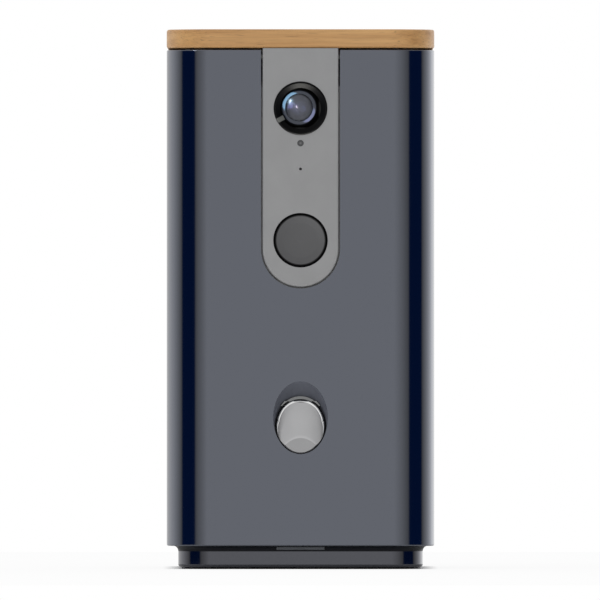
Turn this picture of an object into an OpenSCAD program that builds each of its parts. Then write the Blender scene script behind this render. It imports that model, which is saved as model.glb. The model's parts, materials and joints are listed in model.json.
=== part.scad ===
// Pet treat feeder with camera.
// Origin at the middle of the footprint, +Z up, front towards -Y. Millimetres.

/* [Body] */
// Width of the body, left to right
body_w = 140; // [134:1:160]
// Depth of the body, front to back
body_d = 140; // [136:1:160]
// Height of the sleeve between the plinth and the lid
body_h = 259.4; // [252:0.2:290]
// Radius of the body's upright corners
corner_r = 26; // [22:1:30]
// Wall of the sleeve
shell_wall = 3; // [2.4:0.1:3.6]
// Rounding of the sleeve's top and bottom rims
rim_r = 0.8; // [0.4:0.1:1.2]

/* [Base] */
// Height of the plinth, feet included
base_h = 12; // [11.5:0.5:16]
// How far the plinth steps in under the sleeve
base_inset = 6; // [5:0.5:8]
// Rounding of the plinth's lower edge
plinth_edge_r = 1.6; // [0.8:0.2:2]
// Thickness of the base's floor, wall and flange
plate_t = 3; // [2.4:0.1:3.6]
// Radius of a rubber foot
foot_r = 7; // [5:0.5:9]
// How far a foot stands below the plinth
foot_proud = 0.8; // [0.5:0.1:1.5]
// Width of the light bar
bar_w = 25; // [18:1:32]
// Height of the light bar
bar_h = 1.4; // [1:0.1:1.6]

/* [Lid] */
// Thickness of the lid board
lid_h = 9.8; // [8:0.2:14]
// Rounding of the lid board's edges
lid_edge_r = 1.2; // [0.6:0.2:2]
// Shadow gap between the sleeve's rim and the lid
lid_gap = 0.8; // [0.4:0.1:1.4]
// Depth of the plug below the lid board
plug_h = 14; // [11:0.5:20]

/* [Camera panel] */
// Width of the camera panel
panel_w = 39.5; // [37:0.5:44]
// Dark gap around the camera panel
panel_gap = 0.9; // [0.4:0.05:1.2]
// Drop from the sleeve's rim to the panel's lower end
panel_drop = 123.9; // [120:0.5:132]
// Thickness of the panel's face
panel_t = 2.6; // [2:0.1:3.2]
// Drop from the rim to the camera's axis
camera_drop = 30.7; // [28:0.5:34]
// Drop from the rim to the light sensor
sensor_drop = 48.9; // [48:0.1:51]
// Drop from the rim to the microphone hole
mic_drop = 62.4; // [58:0.5:66]
// Drop from the rim to the round button
button_drop = 99.6; // [96:0.5:102]
// Outer radius of the camera's black bezel
bezel_r = 14; // [13:0.1:14.5]
// Radius of the lens window inside the bezel
window_r = 9.5; // [8.5:0.1:10]
// Radius of the round button
button_r = 13.05; // [11:0.1:13.4]
// Dark gap around the round button
button_gap = 1.05; // [0.6:0.05:1.3]
// Travel of the round button
button_travel = 1.2; // [0.8:0.1:1.6]

/* [Outlet] */
// Height of the outlet's axis above the sleeve's lower rim
outlet_rise = 67; // [66:0.5:72]
// Radius of the scooped outlet
outlet_r = 14.35; // [14.1:0.05:15]
// Slope of the launch tube
launch_angle = 41; // [39:0.5:43]
// Lean of the flap from upright
flap_tilt = 15; // [13:0.5:17]
// Thickness of the flap's plate
flap_t = 2.4; // [2:0.1:2.8]
// How far the flap's rounded pad stands out of its plate
pad_h = 2.15; // [1.8:0.05:2.4]
// Radius of the pad's rounding
pad_r = 34; // [28:1:45]
// Gap between the flap's sides and the scoop
flap_gap = 1.9; // [1.7:0.05:2.2]

/* [Launcher] */
// Inner radius of the launch tube
tube_r = 13; // [12.4:0.1:13]
// Wall of the launch tube
tube_wall = 2; // [1.6:0.1:2.4]
// Stroke of the plunger
stroke = 18; // [14:0.5:18]
// Module of the rack and the sector gear
gear_module = 1; // [1:0.02:1.1]
// Teeth on a full turn of the sector gear
gear_teeth = 25; // [25:1:28]
// Thickness of the sector gear
gear_t = 5; // [4:0.5:6]

/* [Feeder] */
// Height of the rotor's floor above the sleeve's lower rim
rotor_rise = 124; // [120:1:130]
// Inner radius of the rotor's housing
housing_r = 46; // [44:0.5:48]
// Height of the rotor
rotor_h = 20; // [17:0.5:24]
// Pockets in the rotor
pockets = 6; // [5:1:7]
// Thickness of a rotor vane
vane_t = 3; // [2.4:0.1:4]
// Wall of the hopper
hopper_wall = 2; // [1.6:0.1:2.6]

/* [Hidden] */
$fn = 64;
HULL_FN = 32;

// Clearances: parts that slide or turn, parts that fit, and screws in their pilots
run_gap = 0.3;
fit_gap = 0.2;
pilot_gap = 0.05;

// Colours
SLATE = [0.36, 0.375, 0.41];
BAMBOO = [0.74, 0.58, 0.39];
PANEL_GREY = [0.56, 0.56, 0.56];
FLAP_GREY = [0.66, 0.66, 0.66];
BLACK = [0.05, 0.05, 0.055];
BUTTON_GREY = [0.36, 0.36, 0.36];
NATURAL = [0.86, 0.86, 0.84];
BOARD_GREEN = [0.1, 0.34, 0.2];
STEEL = [0.72, 0.72, 0.74];
RUBBER = [0.13, 0.13, 0.14];
GLASS = [0.36, 0.42, 0.62, 0.7];
LIGHT_BAR = [0.52, 0.54, 0.56];

// Levels and planes
front_y = -body_d / 2;
back_y = body_d / 2;
floor_z = foot_proud + plate_t;
flange_z = base_h + plate_t;
rim_z = base_h + body_h;
lid_z = rim_z + lid_gap;
inner_w = body_w - 2 * shell_wall;
inner_d = body_d - 2 * shell_wall;
inner_r = corner_r - shell_wall;
plinth_w = body_w - 2 * base_inset;
plinth_d = body_d - 2 * base_inset;
plinth_r = corner_r - base_inset;
cove_r = base_inset - shell_wall - fit_gap;

// Screw bosses in the body's corners
boss_r = 4.5;
boss_h = 20;
screw_r = 1.5;
head_r = 2.9;
head_h = 2.4;
small_r = 1.2;
small_head_r = 2.3;
small_head_h = 1.6;
tiny_r = 1;
deck_boss_r = 3.6;
deck_boss_h = 12;
deck_screw_len = 9;
deck_reach = (inner_r - deck_boss_r + 0.6) * sin(45);
deck_x = body_w / 2 - corner_r + deck_reach;
deck_y = body_d / 2 - corner_r + deck_reach;
corner_reach = (plinth_r - plate_t - boss_r + 0.6) * sin(45);
boss_x = body_w / 2 - corner_r + corner_reach;
boss_y = body_d / 2 - corner_r + corner_reach;

// Camera panel
camera_z = rim_z - camera_drop;
sensor_z = rim_z - sensor_drop;
mic_z = rim_z - mic_drop;
button_z = rim_z - button_drop;
panel_low_z = rim_z - panel_drop;
panel_lip = 3;
panel_lip_t = 1.6;
panel_back = shell_wall + panel_lip_t;
sensor_r = 1.65;
mic_r = 0.75;
panel_chamfer = 0.4;
panel_rib = 2.5;
panel_top_gap = 0.1;
panel_top_z = lid_z - panel_top_gap;
board_t = 1.6;
board_depth = 17.4;
board_w = panel_w - 4.5;
standoff_r = 2.6;
standoff_x = board_w / 2 - standoff_r - 0.4;
standoff_z = [camera_z + bezel_r + 4.5, (mic_z + button_z) / 2 + 2.5];

// Outlet and its flap
outlet_z = base_h + outlet_rise;
lip_z = outlet_z - outlet_r / cos(launch_angle);
boss_wall = 2;
boss_end = 20;
nozzle_flange = 3;
nozzle_flange_t = 2;
flap_r = outlet_r - flap_gap;
lip_gap = 0.75;
flap_drop = flap_gap - lip_gap;
flap_seal_t = 0.8;
seal_y = flap_t + run_gap;
seat_y = seal_y + flap_seal_t;
seat_r = flap_r - 1;
widen_t = outlet_r * tan(launch_angle) + seat_y;
flap_cross = launch_angle - flap_tilt;
hinge_fore = 0.5;
roll_r = pad_h - hinge_fore;
crown_z = (outlet_r + flap_r - flap_drop + hinge_fore * sin(flap_cross)) / cos(flap_cross);
crown_r = 0.965 * flap_r;
crown_drop = 0.73 * crown_r;
hinge_up = crown_z - roll_r;
hinge_off_axis = hinge_up * cos(flap_cross) - hinge_fore * sin(flap_cross) - outlet_r;
hinge_pin_r = 0.45;
hood_gap = 0.6;
hood_lift = flap_gap - hood_gap;
hood_slot = 1.05;
hood_reach = 1.3;
hood_fore = 0.2;
hood_lug = 0.35;
hinge_pin_half = sqrt(pow(flap_r, 2) - pow(hinge_off_axis - hood_lift, 2)) - 0.3;
spring_half = 1.4;
spring_room = 1.05;
toe_t = 0.6;
toe_slant = 8.5;

// Launch tube, measured along its own axis from the front face
tube_end = 84;
cap_t = 3;
head_t0 = 23;
head_len = 6.5;
window_t0 = 24;
window_len = 17;
window_w = 21;
mesh_t = head_t0 + head_len + stroke + 11;
gear_r = gear_module * gear_teeth / 2;
rack_x = 9.6;
gear_x = rack_x + gear_r;
addendum = 0.9 * gear_module;
dedendum = 1.2 * gear_module;
backlash = 0.16;
pressure = 20;
plate_gap = 0.8;
motor_screw_t = 5.9;
gear_plate_t = 3;
gear_plate_s = gear_t / 2 + plate_gap;
gear_shaft_r = 2.5;
launch_motor_r = 8;
launch_motor_len = 38;
motor_r = 12;
motor_len = 40;

// Hopper and feeder
mouth_w = body_w - 24;
mouth_front = front_y + 30;
mouth_back = back_y - 10;
mouth_d = mouth_back - mouth_front;
mouth_y = (mouth_front + mouth_back) / 2;
mouth_r = corner_r - 8;
deck_z = rim_z - 4.8;
deck_t = 2;
rotor_z = base_h + rotor_rise;
housing_wall = 2.5;
floor_t = 4;
rotor_gap = 0.5;
rotor_r = housing_r - 0.8;
hub_r = 9;
feed_shaft_r = 3;
pocket_mid_r = 28;
drop_r = 12;
drop_y = mouth_y - pocket_mid_r;
funnel_h = 36;
funnel_z = rotor_z + rotor_h + 4;
ear_r = 4;
ear_reach = housing_r + housing_wall + 2;
chute_in = 22;
chute_wall = 2;
chute_flange = 3;

// Electronics on the base
main_w = 70;
main_d = 44;
main_y = back_y - shell_wall - 8 - main_d / 2;
main_z = flange_z;
main_boss_r = 3;
main_screw_inset = 4;
main_screw_len = 6;
jack_w = 9;
jack_h = 11;
jack_len = 14;
jack_z = main_z + board_t + 6.3;
jack_hole_r = 4.6;
jack_bore_r = 3.1;
jack_bore_len = 10;
jack_pin_r = 1;
reset_x = 20;
reset_r = 2.4;
reset_travel = 0.7;
speaker_rise = 76;
speaker_z = base_h + speaker_rise;
speaker_r = 20;
speaker_ear = speaker_r + 3.5;
speaker_ear_r = 3.2;
speaker_ear_t = 1.5;
speaker_boss_h = 4;
speaker_magnet_r = 11;
speaker_depth = 14;
sound_hole_r = 1;
sound_hole_step = 4;

// Shared shapes

// A rectangle with round corners
module rounded_rect(w, d, r) {
    square([w, d - 2 * r], center = true);
    square([w - 2 * r, d], center = true);
    for (x = [-1, 1], y = [-1, 1])
        translate([x * (w / 2 - r), y * (d / 2 - r)]) circle(r);
}

module rounded_slab(w, d, r, h) {
    linear_extrude(h) rounded_rect(w, d, r);
}

// A profile swept round a rounded rectangle; its x runs outward from the outline and its y upward
module swept_edge(w, d, r) {
    for (x = [0, 1], y = [0, 1])
        translate([(2 * x - 1) * (w / 2 - r), (2 * y - 1) * (d / 2 - r), 0])
            rotate([0, 0, x == 1 ? (y == 1 ? 0 : -90) : (y == 1 ? 90 : 180)])
                rotate_extrude(angle = 90) translate([r, 0]) children();
    for (half_turn = [0, 180]) rotate([0, 0, half_turn]) {
        translate([0, d / 2, 0]) rotate([90, 0, 90])
            translate([0, 0, r - w / 2]) linear_extrude(w - 2 * r) children();
        translate([w / 2, 0, 0]) rotate([90, 0, 0])
            translate([0, 0, r - d / 2]) linear_extrude(d - 2 * r) children();
    }
}

// What a rounding of radius r takes off an edge at the profile's origin;
// up is 1 for a lower edge, -1 for an upper one
module edge_waste(r, up) {
    difference() {
        translate([-r, up > 0 ? -1 : -r]) square([r + 1, r + 1]);
        translate([-r, up * r]) circle(r);
    }
}

// An upright stadium, round end down, from the round end's lowest point to the height top
module stadium(w, low, top) {
    translate([0, low + w / 2]) circle(w / 2);
    translate([-w / 2, low + w / 2]) square([w, top - low - w / 2]);
}

// Turns local Z into the way through the front wall, from a point of the front face
module through_front(z, x = 0) {
    translate([x, front_y, z]) rotate([-90, 0, 0]) children();
}

// Puts a plan drawn in x and z against the front face, extruded inward from depth d0 to d1
module front_plan(d0, d1) {
    translate([0, front_y + d1, 0]) rotate([90, 0, 0]) linear_extrude(d1 - d0) children();
}

// The launch tube's frame: x, then along the tube and inward, then across it and upward
module in_tube() {
    translate([0, front_y, outlet_z]) rotate([-launch_angle, 0, 0]) children();
}

// The flap's frame: origin on the outlet's lower lip, Z up along the flap
module in_flap() {
    translate([0, front_y, lip_z]) rotate([-flap_tilt, 0, 0]) children();
}

// The flap's hinge, near its upper edge
module at_hinge() {
    in_flap() translate([0, -hinge_fore, hinge_up]) children();
}

module along_y(r, y0, y1) {
    translate([0, y0, 0]) rotate([-90, 0, 0]) cylinder(r = r, h = y1 - y0);
}

module along_x(r, x0, x1) {
    translate([x0, 0, 0]) rotate([0, 90, 0]) cylinder(r = r, h = x1 - x0);
}

// A pan-head screw, head down, its shank going up from the origin
module screw(r, len, cap_r, cap_h) {
    cylinder(r = r, h = len);
    translate([0, 0, -cap_h]) difference() {
        cylinder(r = cap_r, h = cap_h);
        translate([0, 0, -0.01]) cylinder(r = 0.55 * r, h = cap_h / 2, $fn = 6);
    }
}

module small_screw(len) {
    screw(small_r, len, small_head_r, small_head_h);
}

module at_corners(x, y) {
    for (sx = [-1, 1], sy = [-1, 1]) translate([sx * x, sy * y, 0]) children();
}

// Points of a wound wire: turns of mean radius r from z0 to z1, rings per turn
COIL_RINGS = 8;
COIL_SIDES = 6;
function coil_point(r, turns, z0, z1, i) =
    let (a = 360 * i / COIL_RINGS, f = i / (turns * COIL_RINGS))
    [r * cos(a), r * sin(a), z0 + f * (z1 - z0)];
function coil_rings(r, wire, turns, z0, z1) = [
    for (i = [0:turns * COIL_RINGS])
        let (c = coil_point(r, turns, z0, z1, i), a = 360 * i / COIL_RINGS)
            for (k = [0:COIL_SIDES - 1])
                let (b = 360 * k / COIL_SIDES)
                    c + wire * [cos(b) * cos(a), cos(b) * sin(a), sin(b)]
];
function coil_gap(r, wire, turns, z0, z1) =
    norm(coil_point(r, turns, z0, z1, COIL_RINGS) - coil_point(r, turns, z0, z1, 0)) - 2 * wire;

module coil(r, wire, turns, z0, z1) {
    n = turns * COIL_RINGS;
    points = coil_rings(r, wire, turns, z0, z1);
    sides = [
        for (i = [0:n - 1], k = [0:COIL_SIDES - 1])
            let (a = i * COIL_SIDES + k, b = i * COIL_SIDES + (k + 1) % COIL_SIDES)
                each [[a, b, b + COIL_SIDES], [a, b + COIL_SIDES, a + COIL_SIDES]]
    ];
    first = [for (k = [1:COIL_SIDES - 2]) [0, k + 1, k]];
    end = n * COIL_SIDES;
    last = [for (k = [1:COIL_SIDES - 2]) [end, end + k, end + k + 1]];
    polyhedron(points, concat(sides, first, last));
}

// Lid: a bamboo board with a plug and a seal that sit in the hopper's mouth

module lid_board() {
    color(BAMBOO) difference() {
        translate([0, 0, lid_z]) rounded_slab(body_w, body_d, corner_r, lid_h);
        translate([0, 0, lid_z]) swept_edge(body_w, body_d, corner_r) edge_waste(lid_edge_r, 1);
        translate([0, 0, lid_z + lid_h]) swept_edge(body_w, body_d, corner_r) edge_waste(lid_edge_r, -1);
        lid_screw_places() translate([0, 0, -1])
            cylinder(r = screw_r + pilot_gap, h = lid_screw_len - plug_top + 1.4);
    }
}

plug_wall = 2;
plug_top = 2.2;
seal_t = 2.5;
seal_h = 5;
plug_w = mouth_w - 2 * seal_t;
plug_d = mouth_d - 2 * seal_t;
plug_r = mouth_r - seal_t;
lid_screw_len = 8.5;
lid_screw_inset = 10;
lip_t = 1.2;
lip_inset = 0.4;

module lid_screw_places() {
    translate([0, mouth_y, lid_z])
        at_corners(plug_w / 2 - lid_screw_inset, plug_d / 2 - lid_screw_inset) children();
}

module lid_plug() {
    color(NATURAL) difference() {
        translate([0, mouth_y, lid_z - plug_h]) rounded_slab(plug_w, plug_d, plug_r, plug_h);
        translate([0, mouth_y, lid_z - plug_h - 1])
            rounded_slab(plug_w - 2 * plug_wall, plug_d - 2 * plug_wall, plug_r - plug_wall,
                plug_h + 1 - plug_top);
        lid_screw_places() translate([0, 0, -plug_top - 1])
            cylinder(r = screw_r + fit_gap, h = plug_top + 2);
    }
}

// A band round the plug with two lips
module lid_seal() {
    color(RUBBER) translate([0, mouth_y, lid_z - plug_h + 2]) swept_edge(plug_w, plug_d, plug_r) {
        square([1, seal_h]);
        for (y = [lip_inset, seal_h - lip_inset - lip_t]) translate([0, y]) square([seal_t - run_gap, lip_t]);
    }
}

module lid_screws() {
    color(STEEL) lid_screw_places() translate([0, 0, -plug_top])
        screw(screw_r, lid_screw_len, head_r, head_h * 0.75);
}

// Body: the sleeve with its corner bosses, panel slot and outlet

// Screw bosses in the four corners, joined to the wall by a web
module corner_bosses(z0, h) {
    at_corners(boss_x, boss_y) translate([0, 0, z0]) cylinder(r = boss_r, h = h);
    web = inner_r - corner_reach / sin(45) + shell_wall / 2;
    for (sx = [-1, 1], sy = [-1, 1])
        translate([sx * boss_x, sy * boss_y, z0])
            rotate([0, 0, atan2(sy, sx)]) translate([0, -1.5, 0]) cube([web, 3, h]);
}

module sleeve() {
    difference() {
        translate([0, 0, base_h]) rounded_slab(body_w, body_d, corner_r, body_h);
        translate([0, 0, base_h - 1]) rounded_slab(inner_w, inner_d, inner_r, body_h + 2);
        translate([0, 0, base_h]) swept_edge(body_w, body_d, corner_r) edge_waste(rim_r, 1);
        translate([0, 0, rim_z]) swept_edge(body_w, body_d, corner_r) edge_waste(rim_r, -1);
    }
}

// Everything behind the front face
module behind_front(depth) {
    translate([-body_w / 2, front_y + depth, base_h]) cube([body_w, body_d, body_h]);
}

// The nozzle carries the scoop on behind the wall, with a flange that is bonded to it
module outlet_nozzle() {
    color(SLATE) difference() {
        union() {
            intersection() {
                in_tube() along_y(outlet_r + boss_wall, -30, boss_end);
                behind_front(shell_wall);
            }
            intersection() {
                in_tube() along_y(outlet_r + boss_wall + nozzle_flange, -30, boss_end + 10);
                behind_front(shell_wall);
                translate([-body_w / 2, front_y, base_h])
                    cube([body_w, shell_wall + nozzle_flange_t, body_h]);
            }
        }
        outlet_cut();
    }
}

// The scoop down to the seal's seat, and the bore that widens behind it
module outlet_cut() {
    intersection() {
        in_tube() along_y(outlet_r, -40, boss_end);
        in_flap() translate([-30, seat_y - 80, -60]) cube([60, 80, 120]);
    }
    in_tube() rotate([-90, 0, 0]) rotate_extrude() polygon([
        [0, -10], [seat_r, -10], [seat_r, widen_t], [tube_r, boss_end], [tube_r, boss_end + 1], [0, boss_end + 1]
    ]);
}

// Sound holes in rings round the speaker's axis
module speaker_holes() {
    translate([0, back_y + 1, speaker_z]) rotate([90, 0, 0])
        for (ring = [0:3], i = [0:max(0, 6 * ring - 1)])
            rotate([0, 0, 60 * i / max(ring, 1)]) translate([sound_hole_step * ring, 0, 0])
                cylinder(r = sound_hole_r, h = shell_wall + 2, $fn = 24);
}

module speaker_ears(reach) {
    for (a = [30, 150, 270]) rotate([0, 0, a]) translate([reach, 0, 0]) children();
}

module speaker_bosses() {
    translate([0, back_y - shell_wall / 2, speaker_z]) rotate([90, 0, 0])
        speaker_ears(speaker_ear) cylinder(r = speaker_ear_r, h = shell_wall / 2 + speaker_boss_h);
}

module outer_shell() {
    color(SLATE) difference() {
        union() {
            sleeve();
            corner_bosses(flange_z, boss_h);
            at_corners(deck_x, deck_y) translate([0, 0, deck_z - deck_boss_h])
                cylinder(r = deck_boss_r, h = deck_boss_h);
            speaker_bosses();
        }
        front_plan(-1, shell_wall + 1)
            stadium(panel_w + 2 * panel_gap, panel_low_z - panel_gap, rim_z + 1);
        outlet_cut();
        at_corners(boss_x, boss_y) translate([0, 0, flange_z - 1])
            cylinder(r = screw_r + pilot_gap, h = boss_h - 2);
        at_corners(deck_x, deck_y) translate([0, 0, deck_z - deck_screw_len])
            cylinder(r = screw_r + pilot_gap, h = deck_screw_len + 1);
        speaker_holes();
        translate([0, back_y - shell_wall + 0.5, speaker_z]) rotate([90, 0, 0])
            speaker_ears(speaker_ear) cylinder(r = tiny_r + pilot_gap, h = 5.5);
        translate([0, back_y, jack_z]) along_y(jack_hole_r, -shell_wall - 1, 1);
        translate([reset_x, back_y, jack_z]) along_y(reset_r + fit_gap, -shell_wall - 1, 1);
    }
}

// Base: a plinth tray with a flange that closes the sleeve

module base_plate() {
    flange_w = inner_w - 2 * fit_gap;
    flange_d = inner_d - 2 * fit_gap;
    pocket_w = plinth_w - 2 * plate_t;
    pocket_d = plinth_d - 2 * plate_t;
    color(SLATE) difference() {
        union() {
            difference() {
                union() {
                    translate([0, 0, foot_proud])
                        rounded_slab(plinth_w, plinth_d, plinth_r, base_h - foot_proud + 1);
                    translate([0, 0, base_h]) rounded_slab(flange_w, flange_d, inner_r - fit_gap, plate_t);
                }
                translate([0, 0, floor_z])
                    rounded_slab(pocket_w, pocket_d, plinth_r - plate_t, base_h + plate_t);
                translate([0, 0, base_h]) swept_edge(plinth_w, plinth_d, plinth_r) cove_seat(cove_r + 1);
            }
            at_corners(boss_x, boss_y) translate([0, 0, foot_proud + 0.5])
                cylinder(r = boss_r, h = flange_z - foot_proud - 0.5);
            main_board_places() translate([0, 0, floor_z - 0.5])
                cylinder(r = main_boss_r, h = main_z - floor_z + 0.5);
        }
        translate([0, 0, foot_proud]) swept_edge(plinth_w, plinth_d, plinth_r) edge_waste(plinth_edge_r, 1);
        at_corners(boss_x, boss_y) {
            translate([0, 0, -1]) cylinder(r = head_r + fit_gap, h = base_screw_z + 1);
            translate([0, 0, base_screw_z - 1]) cylinder(r = screw_r + fit_gap, h = flange_z);
        }
        foot_places() translate([0, 0, -1]) cylinder(r = foot_r + fit_gap, h = foot_proud + foot_sunk + 1);
        main_board_places() translate([0, 0, main_z - main_screw_len])
            cylinder(r = small_r + pilot_gap, h = main_screw_len + 1);
        tube_foot_places() {
            translate([0, 0, -1])
                cylinder(r = head_r + fit_gap, h = foot_proud + 1 + tube_screw_sunk);
            translate([0, 0, -1]) cylinder(r = screw_r + fit_gap, h = floor_z + 2);
        }
        bar_slot();
    }
}

base_screw_z = 8;
base_screw_len = 18;
foot_sunk = 1.2;
foot_hollow = 0.4;
foot_rim = 2.5;
tube_screw_sunk = 0.8;
cove_sunk = 0.8;
cove_edge = 0.4;
bar_drop = 0.5;
bar_proud = 1.3;
bar_z = base_h - bar_drop - bar_h;

// The plan of the cove ring before its hollow, out to the given reach;
// the ring is let into the plinth and the flange
module cove_seat(reach) {
    translate([-cove_sunk, -cove_r]) square([cove_sunk + reach, cove_r + cove_edge]);
}

module bar_slot() {
    translate([-bar_w / 2 - pilot_gap, front_y + base_inset - cove_r - 1, bar_z - pilot_gap])
        cube([bar_w + 2 * pilot_gap, plate_t + cove_r + 2, bar_h + 2 * pilot_gap]);
}

// A black ring with a hollow face in the corner under the sleeve
module cove_ring() {
    color(BLACK) difference() {
        translate([0, 0, base_h]) swept_edge(plinth_w, plinth_d, plinth_r) difference() {
            cove_seat(cove_r);
            translate([cove_r, -cove_r]) circle(cove_r);
        }
        bar_slot();
    }
}

module foot_places() {
    at_corners(body_w / 2 - 30, body_d / 2 - 30) children();
}

module base_screws() {
    color(STEEL) at_corners(boss_x, boss_y) translate([0, 0, base_screw_z])
        screw(screw_r, base_screw_len, head_r, head_h);
}

module rubber_feet() {
    color(RUBBER) foot_places() difference() {
        cylinder(r = foot_r, h = foot_proud + foot_sunk);
        translate([0, 0, -0.01]) cylinder(r = foot_r - foot_rim, h = foot_hollow);
    }
}

// The light bar runs through the plinth's wall to a strip of lamps behind it
bar_front = front_y + base_inset - bar_proud;
bar_back = front_y + base_inset + plate_t + 1.5;

module light_bar() {
    color(LIGHT_BAR) translate([-bar_w / 2, bar_front, bar_z])
        cube([bar_w, bar_back - bar_front, bar_h]);
}

module light_bar_board() {
    spare = 2;
    color(BOARD_GREEN) translate([-bar_w / 2 - spare, bar_back + 0.1, floor_z])
        cube([bar_w + 2 * spare, board_t, bar_z + bar_h + 1 - floor_z]);
}

// Camera panel and the parts that it carries

// What the chamfer takes off the panel's front edge: the two sides, then the round end
module panel_edge_waste() {
    r = panel_w / 2;
    c = panel_chamfer;
    round_z = panel_low_z + r;
    waste = [[r - c - 1, -1], [r, c], [r + 1, c], [r + 1, -1]];
    for (sx = [-1, 1]) translate([0, front_y, round_z])
        linear_extrude(panel_top_z - round_z + 1) polygon([for (p = waste) [sx * p[0], p[1]]]);
    through_front(round_z) rotate_extrude(angle = 180) polygon(waste);
}

module camera_panel() {
    lip_w = panel_w + 2 * (panel_gap + panel_lip);
    pocket_w = panel_w - 2 * panel_rib;
    color(PANEL_GREY) difference() {
        union() {
            difference() {
                union() {
                    front_plan(0, panel_back) stadium(panel_w, panel_low_z, panel_top_z);
                    front_plan(shell_wall, panel_back)
                        stadium(lip_w, panel_low_z - panel_gap - panel_lip, deck_z - 14);
                }
                front_plan(panel_t, panel_back + 1)
                    stadium(pocket_w, panel_low_z + panel_rib, panel_top_z + 1);
            }
            for (z = standoff_z, sx = [-1, 1])
                through_front(z, sx * standoff_x) translate([0, 0, panel_t - 0.5])
                    cylinder(r = standoff_r, h = board_depth - panel_t + 0.5);
        }
        panel_edge_waste();
        through_front(camera_z) translate([0, 0, -1]) cylinder(r = bezel_r + pilot_gap, h = panel_t + 2);
        through_front(sensor_z) translate([0, 0, -1]) cylinder(r = sensor_r + pilot_gap, h = panel_t + 2);
        through_front(mic_z) translate([0, 0, -1]) cylinder(r = mic_r, h = panel_t + 2);
        through_front(button_z) translate([0, 0, -1]) cylinder(r = button_r + button_gap, h = panel_t + 2);
        for (z = standoff_z, sx = [-1, 1])
            through_front(z, sx * standoff_x) translate([0, 0, board_depth - 6])
                cylinder(r = small_r + pilot_gap, h = 7);
    }
}

// The lens sits a little to the left of the bezel's middle and above it
lens_left = 0.75;
lens_rise = 0.4;
bezel_hole_r = window_r + norm([lens_left, lens_rise]) + run_gap;
bezel_proud = 0.6;
bezel_round = 0.5;
bezel_flange = 1.2;
barrel_front = 3.4;
barrel_hole_r = 3.4;
mount_front = 12.6;

module through_lens() {
    through_front(camera_z + lens_rise, -lens_left) children();
}

// A black ring round the lens: a shallow funnel, and a flange behind the panel
module camera_bezel() {
    flange = bezel_r + bezel_flange;
    back = panel_t + bezel_flange;
    color(BLACK) through_front(camera_z) rotate_extrude() polygon([
        [bezel_r - bezel_round, -bezel_proud], [bezel_r, bezel_round - bezel_proud], [bezel_r, panel_t],
        [flange, panel_t], [flange, back], [bezel_hole_r, back], [bezel_hole_r, bezel_hole_z],
        [bezel_r - 2 * bezel_round, -bezel_proud]
    ]);
}

bezel_hole_z = 1.2;

// A stepped tube: a seat for the front lens, then baffles that narrow towards the inner lens
module lens_barrel() {
    r = window_r;
    hole = barrel_hole_r;
    seat = inner_lens_r + 0.1;
    color(BLACK) through_lens() rotate_extrude() polygon([
        [r, barrel_front], [r, mount_front], [hole, mount_front], [hole, inner_lens_z], [seat, inner_lens_z],
        [seat, 9.2], [r - 3, 9.2], [r - 3, 7.6], [r - 2, 7.6], [r - 2, front_lens_z],
        [r - barrel_rim, front_lens_z], [r - barrel_rim, barrel_front]
    ]);
}

barrel_rim = 0.4;
front_lens_z = 6.2;
inner_lens_z = 11.4;
inner_lens_r = 5;

// The radius of the ball whose cap has the radius r and the height h
function cap_ball(r, h) = (r * r + h * h) / (2 * h);

// A dome of glass on a short rim, its back at the depth z
module lens_dome(r, dome, rim, z) {
    ball = cap_ball(r, dome);
    through_lens() translate([0, 0, z]) intersection() {
        translate([0, 0, ball - dome - rim]) sphere(ball);
        translate([0, 0, -dome - rim]) cylinder(r = r, h = dome + rim);
    }
}

front_lens_r = window_r - barrel_rim - 0.1;
front_lens_hollow = 1.7;
ring_w = 1.8;
ring_round = 1.3;
ring_front = 3.5;
ring_groove = 0.25;
eye_r = front_lens_r - ring_w - ring_groove;
eye_dome = 1.7;
eye_front = 2;
plate_front = 4.1;

// A round ring of glass on a plate
module lens_ring() {
    through_lens() {
        translate([0, 0, plate_front]) cylinder(r = front_lens_r, h = front_lens_z - plate_front);
        difference() {
            intersection() {
                translate([0, 0, ring_front + ring_round]) rotate_extrude()
                    translate([front_lens_r - ring_w / 2, 0]) circle(ring_round);
                cylinder(r = front_lens_r, h = front_lens_z);
            }
            cylinder(r = front_lens_r - ring_w, h = front_lens_z);
        }
    }
}

// A shallow dome inside a ring, with a groove between them, hollowed behind
module front_lens() {
    ball = cap_ball(eye_r, front_lens_hollow);
    color(GLASS) difference() {
        union() {
            lens_dome(eye_r, eye_dome, front_lens_z - eye_front - eye_dome, front_lens_z);
            lens_ring();
        }
        through_lens() translate([0, 0, front_lens_z + ball - front_lens_hollow]) sphere(ball);
    }
}

module inner_lens() {
    color(GLASS) lens_dome(inner_lens_r, 1.8, 0.3, inner_lens_z);
}

module camera_mount() {
    side = 2 * window_r + 1.6;
    color(BLACK) through_lens() difference() {
        translate([-side / 2, -side / 2, mount_front]) cube([side, side, board_depth - mount_front]);
        translate([0, 0, mount_front - 1]) cylinder(r = barrel_hole_r, h = 3);
    }
}

sensor_sunk = 0.15;
sensor_collar = 0.9;

module light_pipe() {
    color(BLACK) through_front(sensor_z) {
        translate([0, 0, sensor_sunk]) cylinder(r = sensor_r, h = board_depth - sensor_sunk);
        translate([0, 0, panel_t]) cylinder(r = sensor_r + sensor_collar, h = sensor_collar);
    }
}

mic_capsule_r = 2.8;
mic_capsule_h = 2.2;
mic_boot_r = 3.4;
mic_bore_r = 0.9;

module mic_boot() {
    color(RUBBER) through_front(mic_z) difference() {
        translate([0, 0, panel_t]) cylinder(r = mic_boot_r, h = board_depth - mic_capsule_h - panel_t);
        translate([0, 0, panel_t - 1]) cylinder(r = mic_bore_r, h = board_depth);
    }
}

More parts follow.
